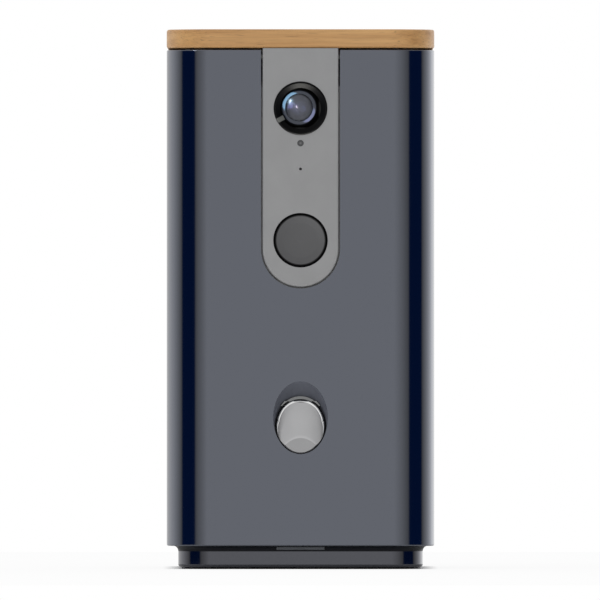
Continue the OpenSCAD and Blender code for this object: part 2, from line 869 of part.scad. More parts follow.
module microphone() {
    color(STEEL) through_front(mic_z) translate([0, 0, board_depth - mic_capsule_h])
        cylinder(r = mic_capsule_r, h = mic_capsule_h);
}

board_top_z = camera_z + bezel_r + 8;
board_low_z = button_z - 9;

module front_board() {
    color(BOARD_GREEN) difference() {
        translate([-board_w / 2, front_y + board_depth, board_low_z])
            cube([board_w, board_t, board_top_z - board_low_z]);
        for (z = standoff_z, sx = [-1, 1])
            through_front(z, sx * standoff_x) translate([0, 0, board_depth - 1])
                cylinder(r = small_r + fit_gap, h = board_t + 2);
    }
}

module front_board_screws() {
    color(STEEL) for (z = standoff_z, sx = [-1, 1])
        through_front(z, sx * standoff_x) translate([0, 0, board_depth + board_t]) rotate([180, 0, 0])
            small_screw(6.5);
}

// The round button: a dished face, a lip behind the panel and a stem towards its switch
button_proud = 0.2;
button_lip = button_r + button_gap + 0.9;
stem_r = 2.5;
switch_h = 3.6;
stem_end = board_depth - switch_h - button_travel - 0.2;

module call_button() {
    lip_front = panel_t + fit_gap;
    dish = 60;
    color(BUTTON_GREY) through_front(button_z) difference() {
        union() {
            translate([0, 0, -button_proud]) cylinder(r = button_r, h = lip_front + 0.5 + button_proud);
            translate([0, 0, lip_front]) cylinder(r = button_lip, h = 1.4);
            translate([0, 0, lip_front]) cylinder(r = stem_r, h = stem_end - lip_front);
        }
        translate([0, 0, -dish - button_proud + 0.7]) sphere(dish, $fn = 128);
    }
}

button_coil_r = 5.4;
button_wire_r = 0.35;
button_turns = 5;
button_coil_z = [panel_t + fit_gap + 1.4 + button_wire_r + 0.1, board_depth - button_wire_r - 0.1];
echo(button_spring_gap =
    coil_gap(button_coil_r, button_wire_r, button_turns, button_coil_z[0], button_coil_z[1]));

module button_spring() {
    color(STEEL) through_front(button_z)
        coil(button_coil_r, button_wire_r, button_turns, button_coil_z[0], button_coil_z[1]);
}

module button_switch() {
    color(BLACK) through_front(button_z) {
        translate([-switch_w / 2, -switch_w / 2, board_depth - switch_h + 0.6])
            cube([switch_w, switch_w, switch_h - 0.6]);
        translate([0, 0, board_depth - switch_h]) cylinder(r = 1.7, h = 1);
    }
}

// Outlet flap: a rounded plate cut flush with the front, hung on a pin under a fixed hood

// A cylinder along the tube, lifted off the tube's axis
module flap_outline(r, lift) {
    in_tube() translate([0, 0, lift]) along_y(r, -40, 40);
}

// Its crown is round and rolled about the hinge, so that it turns on the spot, and its toe is thinned
// behind to swing out over the lip
module outlet_flap() {
    room = spring_half + fit_gap;
    color(FLAP_GREY) difference() {
        intersection() {
            flap_outline(flap_r, -flap_drop);
            behind_front(0);
            in_flap() translate([0, pad_r - pad_h, -5]) cylinder(r = pad_r, h = 50);
            in_flap() translate([-20, -10, -5]) cube([40, 10 + flap_t, 50]);
            union() {
                in_flap() translate([-20, -10, -5]) cube([40, 20, 5 + hinge_up]);
                at_hinge() along_x(roll_r, -20, 20);
            }
            in_flap() union() {
                translate([-20, -10, -5]) cube([40, 20, 5 + crown_z - crown_drop]);
                translate([0, 0, crown_z - crown_r]) along_y(crown_r, -10, 10);
            }
        }
        in_flap() translate([-20, toe_t, 0]) rotate([-toe_slant, 0, 0]) translate([0, 0, -10]) cube([40, 10, 60]);
        at_hinge() {
            along_x(hinge_pin_r + 0.06, -30, 30);
            along_x(spring_room, -room, room);
            translate([-room, 0, -spring_room]) cube([2 * room, 5, 2 * spring_room]);
        }
    }
}

// A crescent above the flap, with a lug at each end that holds the pin
module hinge_hood() {
    lug_y = -hinge_fore - hinge_pin_r - hood_lug;
    color(FLAP_GREY) difference() {
        intersection() {
            flap_outline(flap_r, hood_lift);
            in_flap() translate([-20, 0, hinge_up - hood_reach]) {
                translate([0, -hood_fore, 0]) cube([40, seal_y + hood_fore, 20]);
                translate([0, lug_y, 0]) cube([40, seal_y - lug_y, 2 * hood_reach]);
            }
        }
        flap_outline(flap_r + hood_slot, -flap_drop);
        at_hinge() along_x(hinge_pin_r + pilot_gap, -hinge_pin_half, hinge_pin_half);
    }
}

// A soft ring on the seat, which the flap closes against
module flap_seal() {
    color(RUBBER) intersection() {
        in_tube() difference() {
            along_y(outlet_r - pilot_gap, -40, 40);
            along_y(seat_r, -41, 41);
        }
        in_flap() translate([-20, seal_y, -10]) cube([40, flap_seal_t, 50]);
    }
}

module flap_pin() {
    color(BLACK) at_hinge() along_x(hinge_pin_r, -hinge_pin_half, hinge_pin_half);
}

flap_coil_r = 0.78;
flap_wire_r = 0.13;
flap_turns = 3;
flap_coil_z = [-spring_half + flap_wire_r + 0.1, spring_half - flap_wire_r - 0.1];
echo(flap_spring_gap = coil_gap(flap_coil_r, flap_wire_r, flap_turns, flap_coil_z[0], flap_coil_z[1]));

module flap_spring() {
    color(STEEL) at_hinge() rotate([0, 90, 0])
        coil(flap_coil_r, flap_wire_r, flap_turns, flap_coil_z[0], flap_coil_z[1]);
}

// Launcher: a sloping tube with a sprung plunger that a sector gear draws back

tube_out = tube_r + tube_wall;
foot_t = tube_end - 12;
foot_y = front_y + foot_t * cos(launch_angle);
foot_half = 9;
foot_depth = 12;
foot_screw_x = 5;
cap_ear_r = 3.4;
cap_ear_len = 9;

module tube_foot_places() {
    for (sx = [-1, 1]) translate([sx * foot_screw_x, foot_y, 0]) children();
}

module cap_screw_places() {
    for (sx = [-1, 1]) translate([sx * (tube_out + 2.6), tube_end, 0]) children();
}

module launch_tube() {
    color(NATURAL) difference() {
        union() {
            in_tube() {
                along_y(tube_out, boss_end, tube_end);
                for (s = [-gear_plate_s - gear_plate_t, gear_plate_s])
                    translate([tube_r, mesh_t - gear_r - 2, s])
                        cube([gear_x + launch_motor_r + 1 - tube_r, 2 * gear_r + 4, gear_plate_t]);
                cap_screw_places() along_y(cap_ear_r, -cap_ear_len, 0);
                for (sx = [-1, 1]) translate([sx * (tube_out + 1.3) - 2.6, tube_end - cap_ear_len, -2])
                    cube([5.2, cap_ear_len, 4]);
            }
            intersection() {
                translate([-foot_half, foot_y - foot_depth / 2, floor_z])
                    cube([2 * foot_half, foot_depth, outlet_z]);
                in_tube() translate([-50, 0, -100]) cube([100, tube_end, 100]);
            }
        }
        in_tube() {
            along_y(tube_r, boss_end - 1, tube_end + 1);
            translate([-window_w / 2, window_t0, 0]) cube([window_w, window_len, 2 * tube_out]);
            translate([0, mesh_t - gear_r, -gear_plate_s])
                cube([tube_out + 1, 2 * gear_r, 2 * gear_plate_s]);
            translate([gear_x, mesh_t, 0]) {
                cylinder(r = gear_shaft_r + 1.5, h = 20);
                translate([0, 0, -20]) cylinder(r = gear_shaft_r + pilot_gap, h = 21);
                for (st = [-1, 1]) translate([0, st * motor_screw_t, 0])
                    cylinder(r = tiny_r + fit_gap, h = 20);
            }
            cap_screw_places() along_y(small_r + pilot_gap, -8, 1);
        }
        tube_foot_places() translate([0, 0, floor_z - 1]) cylinder(r = screw_r + pilot_gap, h = 8);
    }
}

module tube_cap() {
    color(NATURAL) in_tube() difference() {
        union() {
            along_y(tube_out, tube_end, tube_end + cap_t);
            along_y(cap_boss_r, tube_end - 8, tube_end + 1);
            cap_screw_places() along_y(cap_ear_r, 0, cap_t);
            for (sx = [-1, 1]) translate([sx * (tube_out + 1) - 2.6, tube_end, -2])
                cube([5.2, cap_t, 4]);
        }
        cap_screw_places() along_y(small_r + fit_gap, -1, cap_t + 1);
    }
}

cap_boss_r = 3;

module tube_cap_screws() {
    color(STEEL) in_tube() cap_screw_places() translate([0, cap_t, 0]) rotate([90, 0, 0]) small_screw(9);
}

module tube_foot_screws() {
    color(STEEL) tube_foot_places() translate([0, 0, foot_proud + tube_screw_sunk])
        screw(screw_r, 8, head_r, tube_screw_sunk);
}

// Rack teeth between the lines t0 and t1, with a gap between teeth at mesh_t
module rack_profile(t0, t1) {
    pitch = PI * gear_module;
    tip = pitch / 4 - addendum * tan(pressure) - backlash / 2;
    root = pitch / 4 + dedendum * tan(pressure) - backlash / 2;
    translate([rack_x - dedendum - 3, t0]) square([3.01, t1 - t0]);
    for (k = [-ceil((mesh_t - t0) / pitch):1])
        let (c = mesh_t + (k + 0.5) * pitch)
            if (c - root > t0 && c + root < t1)
                polygon([
                    [rack_x - dedendum, c - root], [rack_x + addendum, c - tip],
                    [rack_x + addendum, c + tip], [rack_x - dedendum, c + root]
                ]);
}

rack_end = mesh_t + 1.4 * PI * gear_module;

module plunger() {
    back = head_t0 + head_len;
    color(BLACK) in_tube() {
        difference() {
            along_y(tube_r - run_gap, head_t0, back);
            along_y(tube_r - 2.5, head_t0 - 1, head_t0 + 3.5);
        }
        along_y(cap_boss_r, back - 1, back + 5);
        translate([0, 0, -gear_t / 2]) linear_extrude(gear_t) rack_profile(back - 1, rack_end);
    }
}

launch_coil_r = 4.1;
launch_wire_r = 0.55;
launch_turns = 11;
launch_coil_z = [head_t0 + head_len + launch_wire_r + 0.1, tube_end - launch_wire_r - 0.1];
echo(launch_spring_gap =
    coil_gap(launch_coil_r, launch_wire_r, launch_turns, launch_coil_z[0], launch_coil_z[1]));

module launch_spring() {
    color(STEEL) in_tube() rotate([-90, 0, 0])
        coil(launch_coil_r, launch_wire_r, launch_turns, launch_coil_z[0], launch_coil_z[1]);
}

// Involute flank: half the tooth's angle at radius r
base_r = gear_r * cos(pressure);
function involute(r) = r <= base_r ? 0 : tan(acos(base_r / r)) * 180 / PI - acos(base_r / r);
function half_tooth(r) = 90 / gear_teeth - backlash / gear_r * 90 / PI + involute(gear_r) - involute(r);
FLANK_STEPS = 6;

module gear_tooth() {
    root = gear_r - dedendum;
    tip = gear_r + addendum;
    radii = [for (i = [0:FLANK_STEPS]) root - 0.5 + i * (tip - root + 0.5) / FLANK_STEPS];
    polygon(concat(
        [for (r = radii) r * [cos(half_tooth(r)), sin(half_tooth(r))]],
        [for (i = [FLANK_STEPS:-1:0]) let (r = radii[i]) r * [cos(half_tooth(r)), -sin(half_tooth(r))]]
    ));
}

// Toothed over the arc that draws the plunger back, plain over the rest
swing = stroke / gear_r * 180 / PI;
sector_teeth = ceil(swing / (360 / gear_teeth)) + 1;

module sector_gear() {
    color(NATURAL) in_tube() translate([gear_x, mesh_t, -gear_t / 2]) difference() {
        union() {
            cylinder(r = gear_r - dedendum, h = gear_t);
            for (i = [0:sector_teeth])
                rotate([0, 0, 180 + i * 360 / gear_teeth]) linear_extrude(gear_t) gear_tooth();
        }
        translate([0, 0, -1]) cylinder(r = gear_shaft_r + 0.02, h = gear_t + 2);
        for (a = [0:60:300]) rotate(a) translate([gear_r * 0.58, 0, -1])
            cylinder(r = gear_r * 0.12, h = gear_t + 2);
    }
}

module sector_shaft() {
    color(STEEL) in_tube() translate([gear_x, mesh_t, -gear_plate_s - gear_plate_t])
        cylinder(r = gear_shaft_r, h = 2 * gear_plate_s + 2 * gear_plate_t);
}

// A round gearmotor: gearbox, can and end boss, its face at the origin
module gearmotor(r, len) {
    gearbox = len * 0.45;
    difference() {
        cylinder(r = r, h = gearbox);
        translate([0, 0, -1]) cylinder(r = gear_shaft_r + 1, h = 2);
    }
    translate([0, 0, gearbox]) cylinder(r = r - 0.8, h = len * 0.5);
    translate([0, 0, len * 0.95]) cylinder(r = r * 0.35, h = len * 0.05);
}

module launch_motor() {
    color(STEEL) in_tube() translate([gear_x, mesh_t, gear_plate_s + gear_plate_t]) difference() {
        gearmotor(launch_motor_r, launch_motor_len);
        for (st = [-1, 1]) translate([0, st * motor_screw_t, -1])
            cylinder(r = tiny_r + pilot_gap, h = 6);
    }
}

module launch_motor_screws() {
    color(STEEL) in_tube() translate([gear_x, mesh_t, gear_plate_s])
        for (st = [-1, 1]) translate([0, st * motor_screw_t, 0])
            screw(tiny_r, gear_plate_t + 4, 1.9 * tiny_r, plate_gap - 0.3);
}

// Hopper: a deck on the sleeve's corner bosses, straight walls, a funnel and the rotor's housing

module mouth_slab(grow, z, h) {
    translate([0, mouth_y, z]) rounded_slab(mouth_w + 2 * grow, mouth_d + 2 * grow, mouth_r + grow, h);
}

module funnel(grow, h) {
    hull() {
        translate([0, mouth_y, funnel_z + h]) linear_extrude(0.5)
            rounded_rect(mouth_w + 2 * grow, mouth_d + 2 * grow, mouth_r + grow, $fn = HULL_FN);
        translate([0, mouth_y, funnel_z - 0.5]) cylinder(r = housing_r + grow, h = 0.5, $fn = 2 * HULL_FN);
    }
}

module floor_ears(z, h) {
    for (a = [45:90:315]) translate([0, mouth_y, z]) rotate([0, 0, a]) {
        translate([ear_reach, 0, 0]) cylinder(r = ear_r, h = h);
        translate([housing_r + housing_wall - 1, -ear_r, 0]) cube([3, 2 * ear_r, h]);
    }
}

module floor_ear_places() {
    for (a = [45:90:315]) translate([0, mouth_y, 0]) rotate([0, 0, a])
        translate([ear_reach, 0, 0]) children();
}

module hopper() {
    straight_z = funnel_z + funnel_h;
    color(NATURAL) difference() {
        union() {
            mouth_slab(hopper_wall, straight_z, lid_z - 0.1 - straight_z);
            translate([0, 0, deck_z])
                rounded_slab(inner_w - 2 * fit_gap, inner_d - 2 * fit_gap, inner_r - fit_gap, deck_t);
            funnel(hopper_wall, funnel_h);
            translate([0, mouth_y, rotor_z])
                cylinder(r = housing_r + housing_wall, h = funnel_z - rotor_z);
            floor_ears(rotor_z, 6);
        }
        mouth_slab(0, straight_z, body_h);
        funnel(0, funnel_h);
        translate([0, mouth_y, rotor_z - 1]) cylinder(r = housing_r, h = funnel_z - rotor_z + 1);
        translate([-panel_w / 2 - panel_gap - panel_lip, front_y, deck_z - 1])
            cube([panel_w + 2 * (panel_gap + panel_lip), panel_back + 1.2, deck_t + 2]);
        at_corners(deck_x, deck_y) translate([0, 0, deck_z - 1])
            cylinder(r = screw_r + fit_gap, h = deck_t + 2);
        floor_ear_places() translate([0, 0, rotor_z - 1]) cylinder(r = small_r + pilot_gap, h = 6);
    }
}

module hopper_screws() {
    color(STEEL) at_corners(deck_x, deck_y) translate([0, 0, deck_z + deck_t]) rotate([180, 0, 0])
        screw(screw_r, deck_screw_len, head_r, small_head_h);
}

// A fixed quarter plate that keeps treats above from falling straight through the drop hole
module baffle_plate() {
    z = rotor_z + rotor_gap + rotor_h + 0.8;
    color(NATURAL) intersection() {
        translate([0, mouth_y, z]) difference() {
            cylinder(r = housing_r - 0.02, h = 2);
            translate([0, 0, -1]) cylinder(r = hub_r + 2, h = 4);
        }
        translate([0, mouth_y, z - 1]) rotate([0, 0, 225]) cube([housing_r, housing_r, 4]);
    }
}

module rotor_floor() {
    color(NATURAL) difference() {
        union() {
            translate([0, mouth_y, rotor_z - floor_t]) cylinder(r = housing_r + housing_wall, h = floor_t);
            floor_ears(rotor_z - floor_t, floor_t);
        }
        translate([0, mouth_y, rotor_z - floor_t - 1]) cylinder(r = feed_shaft_r + 1, h = floor_t + 2);
        translate([0, drop_y, rotor_z - floor_t - 1]) cylinder(r = drop_r, h = floor_t + 2);
        floor_ear_places() translate([0, 0, rotor_z - floor_t - 1])
            cylinder(r = small_r + fit_gap, h = floor_t + 2);
        feed_motor_places() translate([0, 0, -1]) cylinder(r = small_r + pilot_gap, h = 4);
        chute_screw_places() translate([0, 0, -1]) cylinder(r = small_r + pilot_gap, h = 4);
    }
}

module floor_screws() {
    color(STEEL) floor_ear_places() translate([0, 0, rotor_z - floor_t]) small_screw(floor_t + 4);
}

module rotor() {
    z = rotor_z + rotor_gap;
    color(PANEL_GREY) translate([0, mouth_y, z]) difference() {
        union() {
            cylinder(r = hub_r, h = rotor_h);
            translate([0, 0, rotor_h]) cylinder(r1 = hub_r, r2 = feed_shaft_r + 1, h = 9);
            intersection() {
                cylinder(r = rotor_r, h = rotor_h);
                for (i = [0:pockets - 1]) rotate([0, 0, -90 + (i + 0.5) * 360 / pockets])
                    translate([0, -vane_t / 2, 0]) cube([rotor_r + 1, vane_t, rotor_h]);
            }
        }
        translate([0, 0, -1]) cylinder(r = feed_shaft_r + 0.02, h = rotor_h + 5);
    }
}

module rotor_shaft() {
    color(STEEL) translate([0, mouth_y, rotor_z - floor_t])
        cylinder(r = feed_shaft_r, h = floor_t + rotor_h + 4);
}

feed_motor_ear = 17;
motor_ear_t = 3;

module feed_motor_places() {
    for (sx = [-1, 1]) translate([sx * feed_motor_ear, mouth_y, rotor_z - floor_t]) children();
}

module feed_motor() {
    color(STEEL) difference() {
        union() {
            translate([0, mouth_y, rotor_z - floor_t]) rotate([180, 0, 0]) gearmotor(motor_r, motor_len);
            feed_motor_places() translate([0, 0, -motor_ear_t]) cylinder(r = ear_r, h = motor_ear_t);
            translate([-feed_motor_ear, mouth_y - ear_r, rotor_z - floor_t - motor_ear_t]) difference() {
                cube([2 * feed_motor_ear, 2 * ear_r, motor_ear_t]);
                translate([feed_motor_ear, ear_r, 1]) cylinder(r = gear_shaft_r + 1.5, h = motor_ear_t);
            }
        }
        feed_motor_places() translate([0, 0, -motor_ear_t - 1])
            cylinder(r = small_r + fit_gap, h = motor_ear_t + 2);
    }
}

module feed_motor_screws() {
    color(STEEL) feed_motor_places() translate([0, 0, -motor_ear_t]) small_screw(motor_ear_t + 2.4);
}

// Chute: a square duct that leans from the drop hole to the launch tube's window
window_y = front_y + (window_t0 + window_len / 2) * cos(launch_angle);
window_z = outlet_z - (window_t0 + window_len / 2) * sin(launch_angle);
chute_top = rotor_z - floor_t;
chute_lean = atan2(drop_y - window_y, chute_top - window_z);
chute_len = norm([drop_y - window_y, chute_top - window_z]);
chute_out = chute_in + 2 * chute_wall;
flange_half = chute_out / 2 + 4;

module chute_screw_places() {
    for (sx = [-1, 1]) translate([sx * (drop_r + 5), drop_y - 8, chute_top]) children();
}

module chute_duct(side, over) {
    translate([0, window_y, window_z]) rotate([-chute_lean, 0, 0])
        translate([-side / 2, -side / 2, 0]) cube([side, side, chute_len + over]);
}

module drop_chute() {
    color(NATURAL) difference() {
        union() {
            intersection() {
                chute_duct(chute_out, 30);
                translate([-50, -body_d, 0]) cube([100, 2 * body_d, chute_top]);
            }
            translate([-flange_half, drop_y - flange_half, chute_top - chute_flange])
                cube([2 * flange_half, 2 * flange_half - 3, chute_flange]);
        }
        chute_duct(chute_in, 40);
        in_tube() along_y(tube_out + fit_gap, 0, tube_end);
        in_tube() along_y(outlet_r + boss_wall + fit_gap, -30, boss_end + fit_gap);
        chute_screw_places() translate([0, 0, -chute_flange - 1])
            cylinder(r = small_r + fit_gap, h = chute_flange + 2);
    }
}

module chute_screws() {
    color(STEEL) chute_screw_places() translate([0, 0, -chute_flange]) small_screw(chute_flange + 2.4);
}

// Electronics on the base and the back wall

module main_board_places() {
    translate([0, main_y, 0])
        at_corners(main_w / 2 - main_screw_inset, main_d / 2 - main_screw_inset) children();
}

module main_board() {
    color(BOARD_GREEN) difference() {
        translate([-main_w / 2, main_y - main_d / 2, main_z]) cube([main_w, main_d, board_t]);
        main_board_places() translate([0, 0, main_z - 1])
            cylinder(r = small_r + fit_gap, h = board_t + 2);
    }
}

module main_board_screws() {
    color(STEEL) main_board_places() translate([0, 0, main_z + board_t]) rotate([180, 0, 0])
        small_screw(main_screw_len);
}

jack_back = back_y - shell_wall - 0.2;

module power_jack() {
    color(BLACK) difference() {
        translate([-jack_w / 2, jack_back - jack_len, main_z + board_t])
            cube([jack_w, jack_len, jack_h]);
        translate([0, jack_back, jack_z]) difference() {
            along_y(jack_bore_r, -jack_bore_len, 1);
            along_y(jack_pin_r, -jack_bore_len - 1, -1);
        }
    }
}

// A small round button through the back wall, with a lip inside
reset_switch_front = jack_back - 6;
reset_lip = 1.5;
reset_sunk = 0.3;
reset_stem_r = 1.4;
switch_w = 6;

module reset_button() {
    lip_back = jack_back - reset_lip;
    color(BLACK) translate([reset_x, 0, jack_z]) {
        along_y(reset_r, lip_back, back_y - reset_sunk);
        along_y(reset_r + 1, lip_back, jack_back);
        along_y(reset_stem_r, reset_switch_front + reset_travel + 0.1, lip_back + 0.2);
    }
}

module reset_switch() {
    color(BLACK) translate([reset_x, reset_switch_front, 0]) {
        translate([-switch_w / 2, -5, main_z + board_t])
            cube([switch_w, 4.4, jack_z + switch_w / 2 - main_z - board_t]);
        translate([0, 0, jack_z]) along_y(reset_stem_r, -1, 0);
    }
}

// A paper-cone speaker against the back wall: basket, magnet and ears
module speaker() {
    color(BLACK) translate([0, back_y - shell_wall, speaker_z]) rotate([90, 0, 0]) difference() {
        union() {
            rotate_extrude() polygon([
                [0, 5], [3, 5], [6, 8], [speaker_r - 4, 2.4], [speaker_r - 2, 1.6], [speaker_r - 1.4, 0.2],
                [speaker_r, 0.2], [speaker_r, 3], [speaker_magnet_r, 8], [speaker_magnet_r, speaker_depth],
                [0, speaker_depth]
            ]);
            difference() {
                translate([0, 0, speaker_boss_h]) union() {
                    speaker_ears(speaker_ear) cylinder(r = speaker_ear_r, h = speaker_ear_t);
                    speaker_ears(speaker_r - 4) translate([0, -3, 0])
                        cube([speaker_ear - speaker_r + 4, 6, speaker_ear_t]);
                }
                cylinder(r = speaker_r - 2.5, h = speaker_depth);
            }
            difference() {
                translate([0, 0, 2.5]) cylinder(r = speaker_r, h = 3);
                translate([0, 0, 2]) cylinder(r = speaker_r - 2.6, h = 4);
            }
        }
        speaker_ears(speaker_ear) translate([0, 0, speaker_boss_h - 1])
            cylinder(r = tiny_r + fit_gap, h = speaker_ear_t + 2);
    }
}

module speaker_screws() {
    color(STEEL) translate([0, back_y - shell_wall - speaker_boss_h - speaker_ear_t, speaker_z])
        rotate([90, 0, 0]) speaker_ears(speaker_ear) rotate([180, 0, 0])
            screw(tiny_r, speaker_boss_h + speaker_ear_t, 2 * tiny_r, 1.4);
}

lid_board();
lid_plug();
lid_seal();
lid_screws();
outer_shell();
outlet_nozzle();
base_plate();
cove_ring();
base_screws();
rubber_feet();
light_bar();
light_bar_board();
camera_panel();
camera_bezel();
front_lens();
inner_lens();
lens_barrel();
camera_mount();
light_pipe();
mic_boot();
microphone();
front_board();
front_board_screws();
call_button();
button_spring();
button_switch();
outlet_flap();
hinge_hood();
flap_seal();
flap_pin();
flap_spring();
launch_tube();
tube_cap();
tube_cap_screws();
tube_foot_screws();
plunger();
launch_spring();
sector_gear();
sector_shaft();
launch_motor();
launch_motor_screws();
hopper();
hopper_screws();
baffle_plate();
rotor_floor();
floor_screws();
rotor();
rotor_shaft();
feed_motor();
feed_motor_screws();
drop_chute();
chute_screws();
main_board();
main_board_screws();
power_jack();
reset_button();
reset_switch();
speaker();
speaker_screws();
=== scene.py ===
"""Pet treat feeder with camera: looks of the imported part, its studio and its camera."""
import json
import math

import bpy
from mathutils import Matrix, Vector


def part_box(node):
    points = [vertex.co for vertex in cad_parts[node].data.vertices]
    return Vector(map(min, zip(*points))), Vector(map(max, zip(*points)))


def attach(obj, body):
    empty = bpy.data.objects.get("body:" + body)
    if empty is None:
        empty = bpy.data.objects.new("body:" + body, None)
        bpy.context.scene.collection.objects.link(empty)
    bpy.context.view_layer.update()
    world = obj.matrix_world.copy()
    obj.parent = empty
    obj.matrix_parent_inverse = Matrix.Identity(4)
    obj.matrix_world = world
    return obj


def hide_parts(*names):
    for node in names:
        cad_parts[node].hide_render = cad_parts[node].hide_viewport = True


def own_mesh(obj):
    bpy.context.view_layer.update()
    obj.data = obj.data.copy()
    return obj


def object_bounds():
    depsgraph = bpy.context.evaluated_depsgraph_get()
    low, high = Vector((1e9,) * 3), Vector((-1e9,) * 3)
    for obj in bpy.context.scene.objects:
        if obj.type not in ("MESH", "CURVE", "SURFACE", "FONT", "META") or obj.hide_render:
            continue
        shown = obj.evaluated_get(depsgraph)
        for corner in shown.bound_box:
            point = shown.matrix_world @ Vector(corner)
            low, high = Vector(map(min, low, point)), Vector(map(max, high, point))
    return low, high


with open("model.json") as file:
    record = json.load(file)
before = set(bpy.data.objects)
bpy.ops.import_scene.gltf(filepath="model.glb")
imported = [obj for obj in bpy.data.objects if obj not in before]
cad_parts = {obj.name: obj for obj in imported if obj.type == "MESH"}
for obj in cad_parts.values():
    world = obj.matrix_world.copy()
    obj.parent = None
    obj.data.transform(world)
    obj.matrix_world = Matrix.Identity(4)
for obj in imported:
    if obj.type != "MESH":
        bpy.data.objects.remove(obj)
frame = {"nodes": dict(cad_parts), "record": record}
nodes = frame["nodes"]
cad_lo, cad_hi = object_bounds()

MM = 0.001
PIXEL = 0.5222 * MM
FRAME_PIXELS = 600


# Colours

def linear(*srgb):
    """A colour given as it looks on screen, 0 to 255, as Blender wants it."""
    out = []
    for value in srgb:
        c = value / 255
        out.append(c / 12.92 if c <= 0.04045 else ((c + 0.055) / 1.055) ** 2.4)
    return (*out, 1.0)


def shade(colour, factor):
    """A colour made lighter or darker by a factor."""
    return (*(c * factor for c in colour[:3]), 1.0)


# Node helpers

def node(tree, kind, inputs=None, **settings):
    """A new node with its settings and the values of its inputs."""
    made = tree.nodes.new(kind)
    for name, value in settings.items():
        setattr(made, name, value)
    for name, value in (inputs or {}).items():
        made.inputs[name].default_value = value
    return made


def shader(name, **sockets):
    """A Principled material; a socket's name is written with underscores."""
    mat = bpy.data.materials.new(name)
    mat.use_nodes = True
    bsdf = mat.node_tree.nodes["Principled BSDF"]
    for socket, value in sockets.items():
        bsdf.inputs[socket.replace("_", " ")].default_value = value
    return mat, mat.node_tree, bsdf


def feed(tree, socket, value):
    """Link an input to a node's output, or set it where the value is plain."""
    if hasattr(value, "is_linked"):
        tree.links.new(value, socket)
    else:
        socket.default_value = value


def paint(tree, bsdf, colour, roughness):
    """Link a shader's colour and roughness."""
    tree.links.new(colour, bsdf.inputs["Base Color"])
    tree.links.new(roughness, bsdf.inputs["Roughness"])


def place(tree, scale=(1, 1, 1), offset=(0, 0, 0)):
    """The piece's own coordinates in metres, moved and scaled."""
    coord = node(tree, "ShaderNodeTexCoord")
    mapping = node(tree, "ShaderNodeMapping", {"Scale": scale, "Location": offset})
    tree.links.new(coord.outputs["Object"], mapping.inputs["Vector"])
    return mapping.outputs["Vector"]


def axes(tree, vector):
    """A vector's X, Y and Z."""
    split = node(tree, "ShaderNodeSeparateXYZ")
    tree.links.new(vector, split.inputs["Vector"])
    return split.outputs


def noise(tree, scale, detail=3.0, roughness=0.5, offset=(0, 0, 0), distortion=0.0):
    """Noise over the piece; scale is in waves per metre, one number or one per axis."""
    scale = scale if isinstance(scale, tuple) else (scale,) * 3
    made = node(tree, "ShaderNodeTexNoise", {
        "Scale": 1.0, "Detail": detail, "Roughness": roughness, "Distortion": distortion})
    tree.links.new(place(tree, scale, offset), made.inputs["Vector"])
    return made.outputs["Fac"]


def clouds(tree):
    """The broad, faint clouds in a moulded or cast surface."""
    return noise(tree, 70, offset=(3.1, 1.7, 5.3))


def ramp(tree, fac, stops):
    """A colour ramp from positions and colours."""
    made = node(tree, "ShaderNodeValToRGB")
    elements = made.color_ramp.elements
    while len(elements) < len(stops):
        elements.new(0.5)
    for element, (position, colour) in zip(elements, stops):
        element.position = position
        element.color = colour
    tree.links.new(fac, made.inputs["Fac"])
    return made.outputs["Color"]


def grey_ramp(tree, fac, *stops):
    """A ramp from positions and grey levels."""
    return ramp(tree, fac, [(p, (v, v, v, 1.0)) for p, v in stops])


def mix(tree, fac, a, b, blend="MIX"):
    """Two colours mixed."""
    made = node(tree, "ShaderNodeMix", data_type="RGBA", blend_type=blend)
    for index, value in ((0, fac), (6, a), (7, b)):
        feed(tree, made.inputs[index], value)
    return made.outputs[2]


def maths(tree, operation, *values, clamp=False):
    """A sum on values or other nodes' outputs."""
    made = node(tree, "ShaderNodeMath", operation=operation, use_clamp=clamp)
    for socket, value in zip(made.inputs, values):
        feed(tree, socket, value)
    return made.outputs[0]


def rise(tree, value, start, width):
    """0 up to start, then up to 1 over a width."""
    return maths(tree, "DIVIDE", maths(tree, "SUBTRACT", value, start), width, clamp=True)


def bump(tree, bsdf, height, distance, strength=1.0):
    """A height linked to a shader's normal."""
    made = node(tree, "ShaderNodeBump", {"Strength": strength, "Distance": distance})
    tree.links.new(height, made.inputs["Height"])
    tree.links.new(made.outputs["Normal"], bsdf.inputs["Normal"])


# Materials

def moulded(name, colour, rough, depth_mm=0.01, vary=0.06, **sockets):
    """Moulded plastic or paint: a fine grain in height, roughness and colour."""
    grain_mm = 0.35
    mat, tree, bsdf = shader(name, **sockets)
    fine = noise(tree, 1 / (grain_mm * MM), detail=2.0)
    tint = ramp(tree, clouds(tree), [(0.3, shade(colour, 1 - vary)), (0.7, shade(colour, 1 + vary))])
    paint(tree, bsdf, tint, grey_ramp(tree, fine, (0.2, rough * 0.88), (0.8, rough * 1.12)))
    bump(tree, bsdf, fine, depth_mm * MM, 0.5)
    return mat


